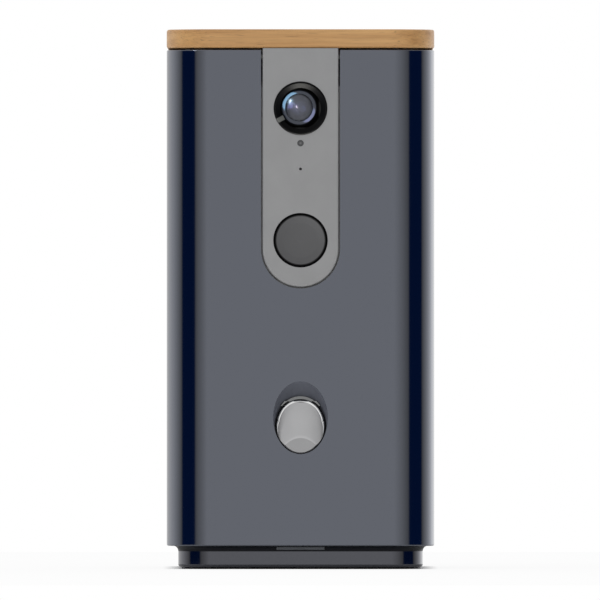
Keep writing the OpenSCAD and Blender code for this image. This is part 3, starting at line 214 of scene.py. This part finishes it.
def bamboo():
    """Oiled bamboo: long bands, finer fibres and short dark marks along X."""
    mat, tree, bsdf = shader("bamboo", Specular_IOR_Level=0.4)
    broad = noise(tree, (9, 110, 330), detail=4.0, roughness=0.55, distortion=0.3)
    fibre = noise(tree, (30, 700, 1500), detail=5.0, roughness=0.65, offset=(0.4, 0.1, 0.9))
    dash = noise(tree, (75, 1300, 1700), detail=2.0, offset=(7.0, 2.0, 4.0))
    body = ramp(tree, broad, [
        (0.25, linear(179, 130, 77)), (0.45, linear(200, 152, 97)),
        (0.6, linear(210, 163, 106)), (0.8, linear(219, 174, 117))])
    streak = grey_ramp(tree, fibre, (0.3, 0.72), (0.5, 1.0), (0.7, 1.1))
    mark = grey_ramp(tree, dash, (0.3, 0.62), (0.36, 1.0))
    colour = mix(tree, 1.0, mix(tree, 0.75, body, streak, "MULTIPLY"), mark, "MULTIPLY")
    paint(tree, bsdf, colour, grey_ramp(tree, fibre, (0.3, 0.5), (0.7, 0.36)))
    bump(tree, bsdf, fibre, 0.06 * MM, 0.35)
    return mat


def gloss_paint(name, colour):
    """Dark metallic paint under a clear gloss."""
    mat, tree, bsdf = shader(name, Metallic=1.0)
    flake = noise(tree, 2600, detail=1.0)
    haze = noise(tree, 40, offset=(2.0, 6.0, 1.0))
    paint(tree, bsdf, ramp(tree, flake, [(0.25, shade(colour, 0.95)), (0.75, shade(colour, 1.05))]),
          grey_ramp(tree, haze, (0.3, 0.085), (0.7, 0.105)))
    return mat


def brushed_steel():
    """Plated steel with fine lines."""
    mat, tree, bsdf = shader("steel", Metallic=1.0)
    lines = noise(tree, (300, 300, 4000), detail=2.0)
    paint(tree, bsdf, ramp(tree, lines, [(0.3, linear(168, 169, 172)), (0.7, linear(206, 207, 210))]),
          grey_ramp(tree, lines, (0.3, 0.26), (0.7, 0.4)))
    bump(tree, bsdf, lines, 0.01 * MM, 0.4)
    return mat


def circuit_board(name, mask):
    """Solder mask over copper tracks, which show as lighter lines."""
    tracks_per_metre = 260
    mat, tree, bsdf = shader(name, Specular_IOR_Level=0.5, Coat_Weight=0.4, Coat_Roughness=0.15)
    brick = node(tree, "ShaderNodeTexBrick", {
        "Scale": 1.0, "Mortar Size": 0.05, "Brick Width": 0.9, "Row Height": 0.4,
        "Color1": mask, "Color2": shade(mask, 1.35), "Mortar": shade(mask, 2.5)})
    tree.links.new(place(tree, (tracks_per_metre,) * 3), brick.inputs["Vector"])
    cloud = noise(tree, 120)
    worn = grey_ramp(tree, cloud, (0.3, 0.75), (0.7, 1.1))
    paint(tree, bsdf, mix(tree, 0.4, brick.outputs["Color"], worn, "MULTIPLY"),
          grey_ramp(tree, cloud, (0.3, 0.3), (0.7, 0.42)))
    return mat


def outward(tree, middle, far):
    """The distance from a middle on the front face, as a share of the radius far, in metres."""
    spread = place(tree, (1 / far, 0, 1 / far), (-middle[0] / far, 0, -middle[1] / far))
    reach = node(tree, "ShaderNodeVectorMath", operation="LENGTH")
    tree.links.new(spread, reach.inputs[0])
    return reach.outputs["Value"]


def target(tree, middle, rings):
    """A colour that runs outward from a middle on the front face: radii in mm and colours."""
    far = rings[-1][0] * MM
    return ramp(tree, outward(tree, middle, far), [(r * MM / far, colour) for r, colour in rings])


def lens_glass(name, rings, tint, ior):
    """Coated glass: what it lets through from its middle outward, and its coating's colour."""
    mat, tree, bsdf = shader(name, Transmission_Weight=1.0, IOR=ior, Specular_Tint=tint)
    smear = noise(tree, 500, detail=2.0)
    paint(tree, bsdf, target(tree, LENS_MIDDLE, rings), grey_ramp(tree, smear, (0.3, 0.13), (0.7, 0.17)))
    return mat


def ringed(name, middle, rings, rough):
    """A matt disc on the front face: radii in mm from its middle and greys."""
    mat, tree, bsdf = shader(name, Specular_IOR_Level=0.3)
    grain = noise(tree, 3000, detail=2.0)
    paint(tree, bsdf, target(tree, middle, [(r, linear(v, v, v + 1)) for r, v in rings]),
          grey_ramp(tree, grain, (0.2, rough * 0.85), (0.8, rough * 1.15)))
    return mat


def flap_metal():
    """Satin metal, with painted light: a painted highlight along the pad's lower edge and painted shade on the
    chin below it.
    """
    mat, tree, bsdf = shader("flap", Metallic=0.85)
    grain = noise(tree, 2800, detail=2.0)
    behind_front = axes(tree, place(tree, (1 / MM,) * 3, (0, -FRONT_Y, 0)))["Y"]
    # Painted light: the chin below the pad's crease is painted darker as shade, and the lighter line along the
    # crease is a painted highlight.
    chin_shade_and_crease_highlight = grey_ramp(tree, behind_front, (0.03, 0.8), (0.1, 1.14), (0.3, 1.1), (0.5, 1.0))
    colour = ramp(tree, clouds(tree), [(0.3, linear(174, 174, 175)), (0.7, linear(178, 178, 179))])
    paint(tree, bsdf, mix(tree, 1.0, colour, chin_shade_and_crease_highlight, "MULTIPLY"), grey_ramp(tree, grain, (0.2, 0.32), (0.8, 0.4)))
    bump(tree, bsdf, grain, 0.01 * MM, 0.5)
    return mat


# The front face's Y in millimetres, and middles on it, across and up, in metres
FRONT_Y = -70.0
LENS_MIDDLE = (-0.75 * MM, 241.1 * MM)
SENSOR_MIDDLE = (0, 222.5 * MM)
BUTTON_MIDDLE = (0, sum(corner.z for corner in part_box("call_button")) / 2)

MATERIALS = {
    "bamboo": bamboo(),
    "shell": gloss_paint("shell", linear(99, 102, 110)),
    # The plinth's paint is the shell's paint made darker: painted shade low down on the part.
    "base": gloss_paint("base", linear(84, 85, 90)),
    "panel": moulded("panel", linear(155, 155, 155), 0.5, vary=0.03, Specular_IOR_Level=0.3),
    "flap": flap_metal(),
    "black": moulded("black", linear(9, 9, 10), 0.5, Specular_IOR_Level=0.06),
    "natural": moulded("natural", linear(222, 222, 217), 0.5, Specular_IOR_Level=0.4),
    "board": circuit_board("board", linear(18, 92, 52)),
    "steel": brushed_steel(),
    "rubber": moulded("rubber", linear(34, 34, 36), 0.85, depth_mm=0.03, Specular_IOR_Level=0.2),
    "lens_glass": lens_glass("lens_glass", [(0.0, (0.7, 0.71, 0.82, 1)), (7.0, (0.66, 0.7, 0.84, 1))],
                             (0.9, 0.92, 1.0, 1), 1.66),
    "light_bar": moulded("light_bar", linear(87, 90, 95), 0.45, Specular_IOR_Level=0.4),
}
NODE_MATERIALS = {
    "inner_lens": lens_glass("inner_glass", [(0.0, (0.5, 0.5, 0.6, 1)), (5.0, (0.4, 0.44, 0.62, 1))],
                             (0.75, 0.82, 1.0, 1), 1.6),
    # The call button's greys fall to near black over its outer edge: painted shade of the gap round the button.
    "call_button": ringed("call_button", BUTTON_MIDDLE, [(0.0, 80), (12.45, 79), (12.72, 20), (13.2, 10)], 0.6),
    "light_pipe": ringed("sensor", SENSOR_MIDDLE, [(0.2, 114), (0.75, 83), (1.2, 73), (1.8, 80)], 0.4),
    "front_board": circuit_board("black_board", linear(20, 21, 22)),
    # Near black: painted shade of the cove under the sleeve, set on the cove ring as a dark trim.
    "cove_ring": moulded("cove", linear(18, 20, 26), 0.4, Specular_IOR_Level=0.15),
    # The flap's satin metal made darker: painted shade of the hood, recessed above the flap.
    "hinge_hood": moulded("hood", linear(138, 139, 139), 0.4, vary=0.03, Metallic=0.85),
    "camera_bezel": moulded("bezel", linear(7, 7, 8), 0.42, Specular_IOR_Level=0.06),
    "outlet_nozzle": moulded("scoop", linear(102, 105, 114), 0.6, Specular_IOR_Level=0.2),
}
RIM_COAT = moulded("lens_rim", linear(30, 30, 35), 0.1, depth_mm=0.0, Specular_IOR_Level=0.75,
                   Specular_Tint=(0.85, 0.9, 1.0, 1))
# Painted highlight: a much lighter copy of the flap's metal, for the lit rounding along its edge.
EDGE_HIGHLIGHT_METAL = moulded("flap_edge_highlight", linear(232, 232, 232), 0.3, vary=0.03, Metallic=1.0)
# Painted reflection: the grey of an inlay set where the black bezel shows a reflection.
REFLECTION_GREY = moulded("bezel_reflection_mark", linear(106, 107, 103), 0.4, Specular_IOR_Level=0.4)

slot_of = {part["node"]: part["material_slot"] for part in frame["record"]["subparts"]}
for name, obj in nodes.items():
    mat = NODE_MATERIALS.get(name) or MATERIALS[slot_of[name]]
    if not obj.material_slots:
        obj.data.materials.append(mat)
    for slot in obj.material_slots:
        slot.material = mat


# Pieces that dress the solids, from the same sizes as the part's source, in millimetres and radians

OUTLET_Z, OUTLET_R = 79.0, 14.35
LAUNCH, LEAN = math.radians(41), math.radians(15)
CROSS = LAUNCH - LEAN
LIP_Z = OUTLET_Z - OUTLET_R / math.cos(LAUNCH)
FLAP_R, FLAP_DROP = 12.45, 1.15
PAD_R, PAD_H, HINGE_FORE = 34.0, 2.15, 0.5
SEAL_Y = 2.7
ROLL_R = PAD_H - HINGE_FORE
ROLL_TOP = 0.98 * ROLL_R
CROWN_Z = (OUTLET_R + FLAP_R - FLAP_DROP + HINGE_FORE * math.sin(CROSS)) / math.cos(CROSS)
CROWN_R = 0.965 * FLAP_R
HINGE_UP = CROWN_Z - ROLL_R
CAMERA_Z = 240.7
EYE_FRONT, EYE_R, EYE_DOME = 2.0, 7.07, 1.7
RIM_IN, RIM_OUT, RIM_FRONT, RIM_CURVE = 7.2, 9.0, 3.5, 8.2
RIM_CREST = RIM_IN - 0.8
LENS_BACK, CHAMFER = 6.2, 0.05
BUTTON_R, BUTTON_GAP = 13.05, 1.05
AROUND = 128


def in_flap(x, y, z):
    """A point of the flap's frame, in metres: y inward from its plate, z up along it from the lip."""
    return Vector((x, FRONT_Y + y * math.cos(LEAN) + z * math.sin(LEAN),
                   LIP_Z - y * math.sin(LEAN) + z * math.cos(LEAN))) * MM


def in_tube(x, t, up):
    """A point of the launch tube's frame, in metres: t inward along it, up across it."""
    return Vector((x, FRONT_Y + t * math.cos(LAUNCH) + up * math.sin(LAUNCH),
                   OUTLET_Z - t * math.sin(LAUNCH) + up * math.cos(LAUNCH))) * MM


def up_flap(up, y):
    """Where a line along the tube meets the plane y of the flap's frame: how far up the flap from its lip."""
    return (up + OUTLET_R - y * math.sin(CROSS)) / math.cos(CROSS)


def down_tube(up, y):
    """Where a line along the tube meets the plane y of the flap's frame: how far down the tube."""
    return OUTLET_R * math.tan(LAUNCH) - up_flap(up, y) * math.sin(CROSS) + y * math.cos(CROSS)


def linked(name, data):
    """A new object in the scene."""
    made = bpy.data.objects.new(name, data)
    bpy.context.scene.collection.objects.link(made)
    return made


def piece(name, verts, faces, mat, body, smooth=True):
    """A closed mesh that rides a body."""
    mesh = bpy.data.meshes.new(name)
    mesh.from_pydata([tuple(v) for v in verts], [], faces)
    mesh.validate()
    mesh.update()
    if smooth:
        mesh.shade_smooth()
    made = linked(name, mesh)
    mesh.materials.append(mat)
    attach(made, body)
    return made


def skin(sections, count, closed=True):
    """Faces along a run of closed sections, each of count points; a closed run ends where it starts."""
    faces = []
    for i in range(sections if closed else sections - 1):
        a, b = i * count, (i + 1) % sections * count
        for k in range(count):
            n = (k + 1) % count
            faces.append((a + k, a + n, b + n, b + k))
    return faces


def bead(points, radii, ways, flat, sides=12):
    """A bead along points; ways gives its outward direction at each, in which flat scales its section."""
    verts = []
    for i, point in enumerate(points):
        run = (points[min(i + 1, len(points) - 1)] - points[max(i - 1, 0)]).normalized()
        a = (ways[i] - run * ways[i].dot(run)).normalized()
        b = run.cross(a)
        for k in range(sides):
            angle = 2 * math.pi * k / sides
            verts.append(point + (a * math.cos(angle) * flat + b * math.sin(angle)) * radii[i])
    faces = skin(len(points), sides, closed=False)
    faces.append(tuple(reversed(range(sides))))
    faces.append(tuple(range((len(points) - 1) * sides, len(points) * sides)))
    return verts, faces


def pad_depth(x):
    """The depth of the flap's rounded pad in its own frame."""
    return PAD_R - PAD_H - math.sqrt(PAD_R ** 2 - x * x)


def flap_face(x, z):
    """The flap's front surface in its own frame: the depth there and the way that it faces."""
    y = pad_depth(x)
    way = Vector((x / PAD_R, -1.0, 0.0))
    up = min(z - HINGE_UP, ROLL_TOP)
    if up > 0:
        roll = -HINGE_FORE - math.sqrt(ROLL_R ** 2 - up ** 2)
        if roll > y:
            y, way = roll, Vector((0.0, roll + HINGE_FORE, up))
    return y, way.normalized()


def flap_edge(angle):
    """The flap's outline at an angle round it, in its own frame: across and up."""
    x = FLAP_R * math.cos(angle)
    z = up_flap(FLAP_R * math.sin(angle) - FLAP_DROP, pad_depth(x))
    if math.sin(angle) > 0 and abs(x) < CROWN_R:
        z = min(z, CROWN_Z - CROWN_R + math.sqrt(CROWN_R ** 2 - x * x))
    return x, z


def flap_edge_highlight():
    """A low bead along the flap's edge, thinning out towards its lower ends; its brightness is a painted
    highlight of the edge's rounding.
    """
    start, sweep, steps = 205.0, 230.0, 90
    wide, flat, inset, sunk = 0.68, 0.42, 0.36, 0.08
    tip, fade = 0.1, 16
    middle = Vector((0.0, 0.0, 14.5))
    origin = in_flap(0, 0, 0)
    points, ways, radii = [], [], []
    for i in range(steps + 1):
        x, z = flap_edge(math.radians(start - sweep * i / steps))
        inward = (middle - Vector((x, 0.0, z))).normalized() * inset
        x, z = x + inward.x, z + inward.z
        y, way = flap_face(x, z)
        points.append(in_flap(*(Vector((x, y, z)) - way * sunk)))
        ways.append((in_flap(*way) - origin).normalized())
        radii.append(wide * MM * (tip + (1 - tip) * min(1.0, min(i, steps - i) / fade)))
    verts, faces = bead(points, radii, ways, flat)
    piece("flap_edge_highlight", verts, faces, EDGE_HIGHLIGHT_METAL, "flap")


def scoop_liner():
    """A matt lining of the scoop, from the front face in to the flap's seal, thicker beside the flap."""
    around, thin, swell = 120, 0.12, 0.7
    off_wall, off_front, off_seal = 0.02, 0.1, 0.05
    shares = (0.0, 0.35, 0.7, 1.0)
    verts = []
    for i in range(around):
        angle = 2 * math.pi * i / around
        side = abs(math.cos(angle))
        thick = thin + swell * (side ** 4 if math.sin(angle) > 0 else side)
        outer, inner = [], []
        for row, radius, growth in ((outer, OUTLET_R - off_wall, 0.0), (inner, OUTLET_R - thin, thick - thin)):
            x, up = radius * math.cos(angle), radius * math.sin(angle)
            start = (off_front - up * math.sin(LAUNCH)) / math.cos(LAUNCH)
            beside = down_tube(up, 0.0)
            stops = [(start + (beside - start) * share, 1 - growth * share / radius) for share in shares]
            stops.append((max(down_tube(up, SEAL_Y) - off_seal, beside), 1 - growth / radius))
            row += [in_tube(x * narrow, t, up * narrow) for t, narrow in stops]
        verts += outer + list(reversed(inner))
    faces = skin(around, len(verts) // around)
    piece("scoop_liner", verts, faces, NODE_MATERIALS["outlet_nozzle"], "housing", smooth=False)


def bezel_reflection_mark():
    """A painted reflection: a grey inlay across the black bezel, at about eight o'clock, where the bezel shows a
    reflection.
    """
    turn = math.radians(208.5)
    proud, thick = 0.06, 0.5
    run = [(9.9, 1.9), (10.3, 1.35), (10.7, 1.0), (11.6, 0.3), (12.6, -0.45), (13.0, -0.7), (13.45, -0.7),
           (13.85, -0.35), (13.95, 0.3)]
    half = [(-1.3, 0.35), (-1.15, 0.05), (1.15, 0.05), (1.3, 0.35)]
    out = Vector((math.cos(turn), 0, math.sin(turn)))
    side = Vector((-math.sin(turn), 0, math.cos(turn)))
    middle = Vector((0, FRONT_Y, CAMERA_Z))
    verts = []
    for r, depth in run:
        row = [middle + out * math.sqrt(r * r - across * across) + side * across
               + Vector((0, depth + sunk - proud, 0)) for across, sunk in half]
        row += [corner + Vector((0, thick, 0)) for corner in (row[-1], row[0])]
        verts += [corner * MM for corner in reversed(row)]
    count = len(half) + 2
    faces = skin(len(run), count, closed=False)
    faces.append(tuple(reversed(range(count))))
    faces.append(tuple(range((len(run) - 1) * count, len(run) * count)))
    piece("bezel_reflection_mark", verts, faces, REFLECTION_GREY, "housing", smooth=False)


def spun(points, middle):
    """Points given as radii and depths in mm, set round a line into the front face."""
    verts = []
    for i in range(AROUND):
        angle = 2 * math.pi * i / AROUND
        for r, depth in points:
            verts.append(Vector((middle[0] + r * math.cos(angle) * MM, (FRONT_Y + depth) * MM,
                                 middle[1] + r * math.sin(angle) * MM)))
    return verts


def lathe(name, profile, middle, mat, body):
    """A solid of revolution about a line into the front face: radii and depths in mm from axis to axis."""
    verts = [Vector((middle[0], (FRONT_Y + depth) * MM, middle[1])) for _, depth in (profile[0], profile[-1])]
    inner = profile[1:-1]
    verts += spun(inner, middle)
    count = len(inner)
    faces = []
    for i in range(AROUND):
        a, b = 2 + i * count, 2 + (i + 1) % AROUND * count
        faces.append((0, a, b))
        faces.append((1, b + count - 1, a + count - 1))
        for k in range(count - 1):
            faces.append((a + k, a + k + 1, b + k + 1, b + k))
    return piece(name, verts, faces, mat, body)


def ring(name, section, middle, mat, body):
    """A ring about a line into the front face: the closed section's radii and depths in mm."""
    return piece(name, spun(section, middle), skin(AROUND, len(section)), mat, body)


def arc(mid_r, crest, ball, r0, r1, steps):
    """Points of a round front from the radius r0 to r1: crest is its least depth, at the radius mid_r."""
    points = []
    for i in range(steps + 1):
        r = r0 + (r1 - r0) * i / steps
        points.append((r, crest + ball - math.sqrt(ball ** 2 - (r - mid_r) ** 2)))
    return points


def lens_eye():
    """The front lens's middle: a shallow dome with a hollow back."""
    ball = (EYE_R ** 2 + EYE_DOME ** 2) / (2 * EYE_DOME)
    profile = arc(0.0, EYE_FRONT, ball, 0.0, EYE_R, 40)
    profile += [(EYE_R, LENS_BACK - CHAMFER), (EYE_R - CHAMFER, LENS_BACK)]
    profile += list(reversed(arc(0.0, LENS_BACK - EYE_DOME, ball, 0.0, EYE_R - 2 * CHAMFER, 24)))
    made = lathe("lens_eye", profile, LENS_MIDDLE, MATERIALS["lens_glass"], "housing")
    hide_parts("front_lens")
    return made


def lens_rim():
    """The dark rim of the front lens, sloping back from a fine groove round the eye."""
    section = arc(RIM_CREST, RIM_FRONT, RIM_CURVE, RIM_IN, RIM_OUT, 24)
    section += [(RIM_OUT, LENS_BACK - CHAMFER), (RIM_OUT - CHAMFER, LENS_BACK),
                (RIM_IN + CHAMFER, LENS_BACK), (RIM_IN, LENS_BACK - CHAMFER)]
    made = ring("lens_rim", section, LENS_MIDDLE, RIM_COAT, "housing")
    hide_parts("front_lens")
    return made


def button_gap_shade_gasket():
    """A black ring in the panel's hole, just clear of the button, with a thin lip over the hole's edge; its black
    is partly a gasket and partly painted shade of the gap round the button.
    """
    clear, press = 0.12, 0.02
    inner, outer = BUTTON_R + clear, BUTTON_R + BUTTON_GAP + press
    lip, proud, seat, back = outer + 0.12, -0.04, 0.02, 1.2
    section = [(inner, 0.45), (inner + 0.08, 0.37), (outer - 0.25, 0.1), (outer - 0.1, proud),
               (lip - CHAMFER, proud), (lip, seat), (outer, seat), (outer, back), (inner, back)]
    ring("button_gap_shade_gasket", section, BUTTON_MIDDLE, MATERIALS["black"], "housing")


def sprung(name, spring):
    """A spring's own form, copied to ride the housing in the spring's place."""
    mesh = nodes[spring].data.copy()
    made = linked(name, mesh)
    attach(made, "housing")
    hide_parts(spring)
    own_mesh(made)


flap_edge_highlight()
scoop_liner()
bezel_reflection_mark()
sprung("button_coil", "button_spring")
sprung("launch_coil", "launch_spring")
button_gap_shade_gasket()
EYE_GLASS = lens_eye()
RIM_GLASS = lens_rim()


# Studio: a pale floor, an even white room with two dark flags at the sides, a key lamp, and small lamps for the
# reflections in single pieces

def seen_directly(tree):
    """1 for what the camera sees, also through glass."""
    path = node(tree, "ShaderNodeLightPath")
    return maths(tree, "MAXIMUM", path.outputs["Is Camera Ray"], path.outputs["Is Transmission Ray"])


def blend(tree, fac, a, b):
    """Two shaders mixed."""
    made = node(tree, "ShaderNodeMixShader")
    tree.links.new(fac, made.inputs["Fac"])
    tree.links.new(a, made.inputs[1])
    tree.links.new(b, made.inputs[2])
    return made.outputs[0]


def studio_floor():
    """A pale floor that keeps the part's shadow, seen from above only; away from the part no gloss shows it."""
    half, whiteness = 0.75, 0.88
    part_reach, part_fade = 0.062, 0.01
    gloss_reach, gloss_fade = 0.09, 0.03
    mesh = bpy.data.meshes.new("floor")
    mesh.from_pydata([(-half, -half, 0), (half, -half, 0), (half, half, 0), (-half, half, 0)], [], [(0, 1, 2, 3)])
    floor = linked("floor", mesh)
    mat, tree, bsdf = shader("floor", Base_Color=(0.95, 0.95, 0.95, 1), Roughness=0.9, Specular_IOR_Level=0.0)
    white = node(tree, "ShaderNodeEmission", {"Color": (1, 1, 1, 1), "Strength": 1.0})
    x, y, _ = axes(tree, place(tree))
    beside = maths(tree, "MAXIMUM", maths(tree, "ABSOLUTE", x), maths(tree, "ABSOLUTE", y))
    shown = maths(tree, "MULTIPLY", seen_directly(tree), rise(tree, beside, part_reach, part_fade))
    pale = blend(tree, maths(tree, "MULTIPLY", shown, whiteness), bsdf.outputs[0], white.outputs[0])
    glossy = maths(tree, "MULTIPLY", node(tree, "ShaderNodeLightPath").outputs["Is Glossy Ray"],
                   rise(tree, beside, gloss_reach, gloss_fade))
    hidden = maths(tree, "MAXIMUM", node(tree, "ShaderNodeNewGeometry").outputs["Backfacing"], glossy)
    surface = blend(tree, hidden, pale, node(tree, "ShaderNodeBsdfTransparent").outputs[0])
    tree.links.new(surface, tree.nodes["Material Output"].inputs["Surface"])
    mesh.materials.append(mat)


def studio_room():
    """The room as reflections show it: levels by degrees to each side of the front, and an even ceiling."""
    white = (0.96, 0.96, 0.96, 1)
    flag = (0.006, 0.03, 0.13, 1)
    left_front = [(22, 1.0), (28, 0.84), (35, 0.68), (43, 0.53), (49, 0.35)]
    left_flag = (52, 86)
    left = [(88, 0.3), (95, 0.58), (106, 0.9), (118, 1.18), (133, 1.25), (155, 0.95), (180, 0.9)]
    right_front = [(22, 1.0), (30, 0.88), (40, 0.72), (49, 0.53), (57, 0.36)]
    right_flag = (60, 95)
    right = [(98, 0.3), (105, 0.58), (116, 0.98), (129, 1.5), (143, 1.9), (160, 1.4), (180, 0.9)]
    ceiling, ceiling_fade = 0.35, 0.3
    dim_side, dim_fade, dim = 0.15, 0.45, 0.62

    world = bpy.data.worlds.new("room")
    bpy.context.scene.world = world
    world.use_nodes = True
    tree = world.node_tree
    tree.nodes.clear()
    x, y, z = axes(tree, node(tree, "ShaderNodeTexCoord").outputs["Generated"])
    turn = maths(tree, "ARCTAN2", x, maths(tree, "MULTIPLY", y, -1.0))
    share = maths(tree, "ADD", maths(tree, "DIVIDE", turn, 2 * math.pi), 0.5)

    stops = []
    for sign, levels, edges in ((-1, left_front + left, left_flag), (1, right_front + right, right_flag)):
        stops += [(0.5 + sign * degrees / 360, shade(white, level)) for degrees, level in levels]
        stops += [(0.5 + sign * degrees / 360, flag) for degrees in edges]
    colour = ramp(tree, share, sorted(stops))
    high = rise(tree, maths(tree, "ABSOLUTE", z), ceiling, ceiling_fade)
    upper = mix(tree, rise(tree, x, dim_side, dim_fade), white, shade(white, dim))
    seen = mix(tree, seen_directly(tree), mix(tree, high, colour, upper), (1, 1, 1, 1))
    background = node(tree, "ShaderNodeBackground", {"Strength": 1.0})
    tree.links.new(seen, background.inputs["Color"])
    output = node(tree, "ShaderNodeOutputWorld")
    tree.links.new(background.outputs[0], output.inputs["Surface"])


def soft_lamp(name, spot, direction, distance, size, power, colour=(1, 1, 1), only=()):
    """A lamp that faces a spot; only names the pieces that it alone lights."""
    data = bpy.data.lights.new(name, "AREA")
    data.shape = "ELLIPSE"
    data.size, data.size_y = size
    data.energy = power
    data.color = colour
    lamp = linked(name, data)
    way = Vector(direction).normalized()
    lamp.location = Vector(spot) + way * distance
    lamp.rotation_mode = "QUATERNION"
    lamp.rotation_quaternion = way.to_track_quat("Z", "Y")
    lamp.visible_camera = False
    if only:
        lit = bpy.data.collections.new(name)
        for obj in only:
            lit.objects.link(obj)
        lamp.light_linking.receiver_collection = lit
        lamp.light_linking.blocker_collection = lit


def studio_lamps():
    """The key lamp, and the small lamps of the lens, its rim, the bezel and the button."""
    far = 2.0
    lens = (LENS_MIDDLE[0], FRONT_Y * MM, LENS_MIDDLE[1])
    button = (BUTTON_MIDDLE[0], FRONT_Y * MM, BUTTON_MIDDLE[1])
    eye = (EYE_GLASS, nodes["inner_lens"])
    rim = (RIM_GLASS,)
    soft_lamp("key", (0, -0.07, 0.2), (-0.72, -0.44, 0.54), far, (0.3, 0.3), 3.0)
    soft_lamp("eye_spot", lens, (-0.56, -0.71, 0.42), far, (0.42, 0.42), 7.0, (0.84, 0.97, 1.0), eye)
    soft_lamp("eye_glow", lens, (-0.55, -0.72, 0.4), far, (0.9, 0.9), 6.0, (0.5, 0.85, 1.0), eye)
    soft_lamp("eye_haze", lens, (-0.52, -0.84, 0.15), far, (0.85, 0.85), 5.0, (0.5, 0.48, 1.0), eye)
    soft_lamp("eye_dot", lens, (-0.15, -0.985, 0.05), far, (0.1, 0.1), 2.8, (1.0, 0.85, 1.0), eye)
    soft_lamp("rim_window", lens, (-0.325, -0.913, 0.244), far, (1.15, 1.15), 28.0, (0.4, 0.74, 1.0), rim)
    soft_lamp("rim_haze", lens, (0.325, -0.913, -0.244), far, (0.95, 0.95), 10.0, (0.6, 0.62, 1.0), rim)
    soft_lamp("button_card", button, (0.3, -0.85, 0.42), 0.035, (0.02, 0.02), 0.0037,
              only=(nodes["call_button"],))
    soft_lamp("bezel_card", lens, (0.0, -0.25, -0.97), 0.14, (0.13, 0.06), 0.75, (1.0, 0.98, 0.92),
              (nodes["camera_bezel"],))


def studio_camera():
    """A long lens straight in front, framed as the photograph."""
    distance, near, beyond = 12.0, 0.1, 60.0
    pixels_left, pixels_down = 0.5, 0.8
    data = bpy.data.cameras.new("camera")
    data.sensor_width = 36.0
    data.lens = data.sensor_width * (distance + cad_lo.y) / (FRAME_PIXELS * PIXEL)
    data.clip_start, data.clip_end = near, beyond
    camera = linked("camera", data)
    middle_z = (cad_lo.z + cad_hi.z) / 2
    camera.location = (-pixels_left * PIXEL, -distance, middle_z - pixels_down * PIXEL)
    camera.rotation_euler = (math.pi / 2, 0, 0)
    bpy.context.scene.camera = camera


studio_floor()
studio_room()
studio_lamps()
studio_camera()
bpy.context.scene.view_settings.view_transform = "Standard"
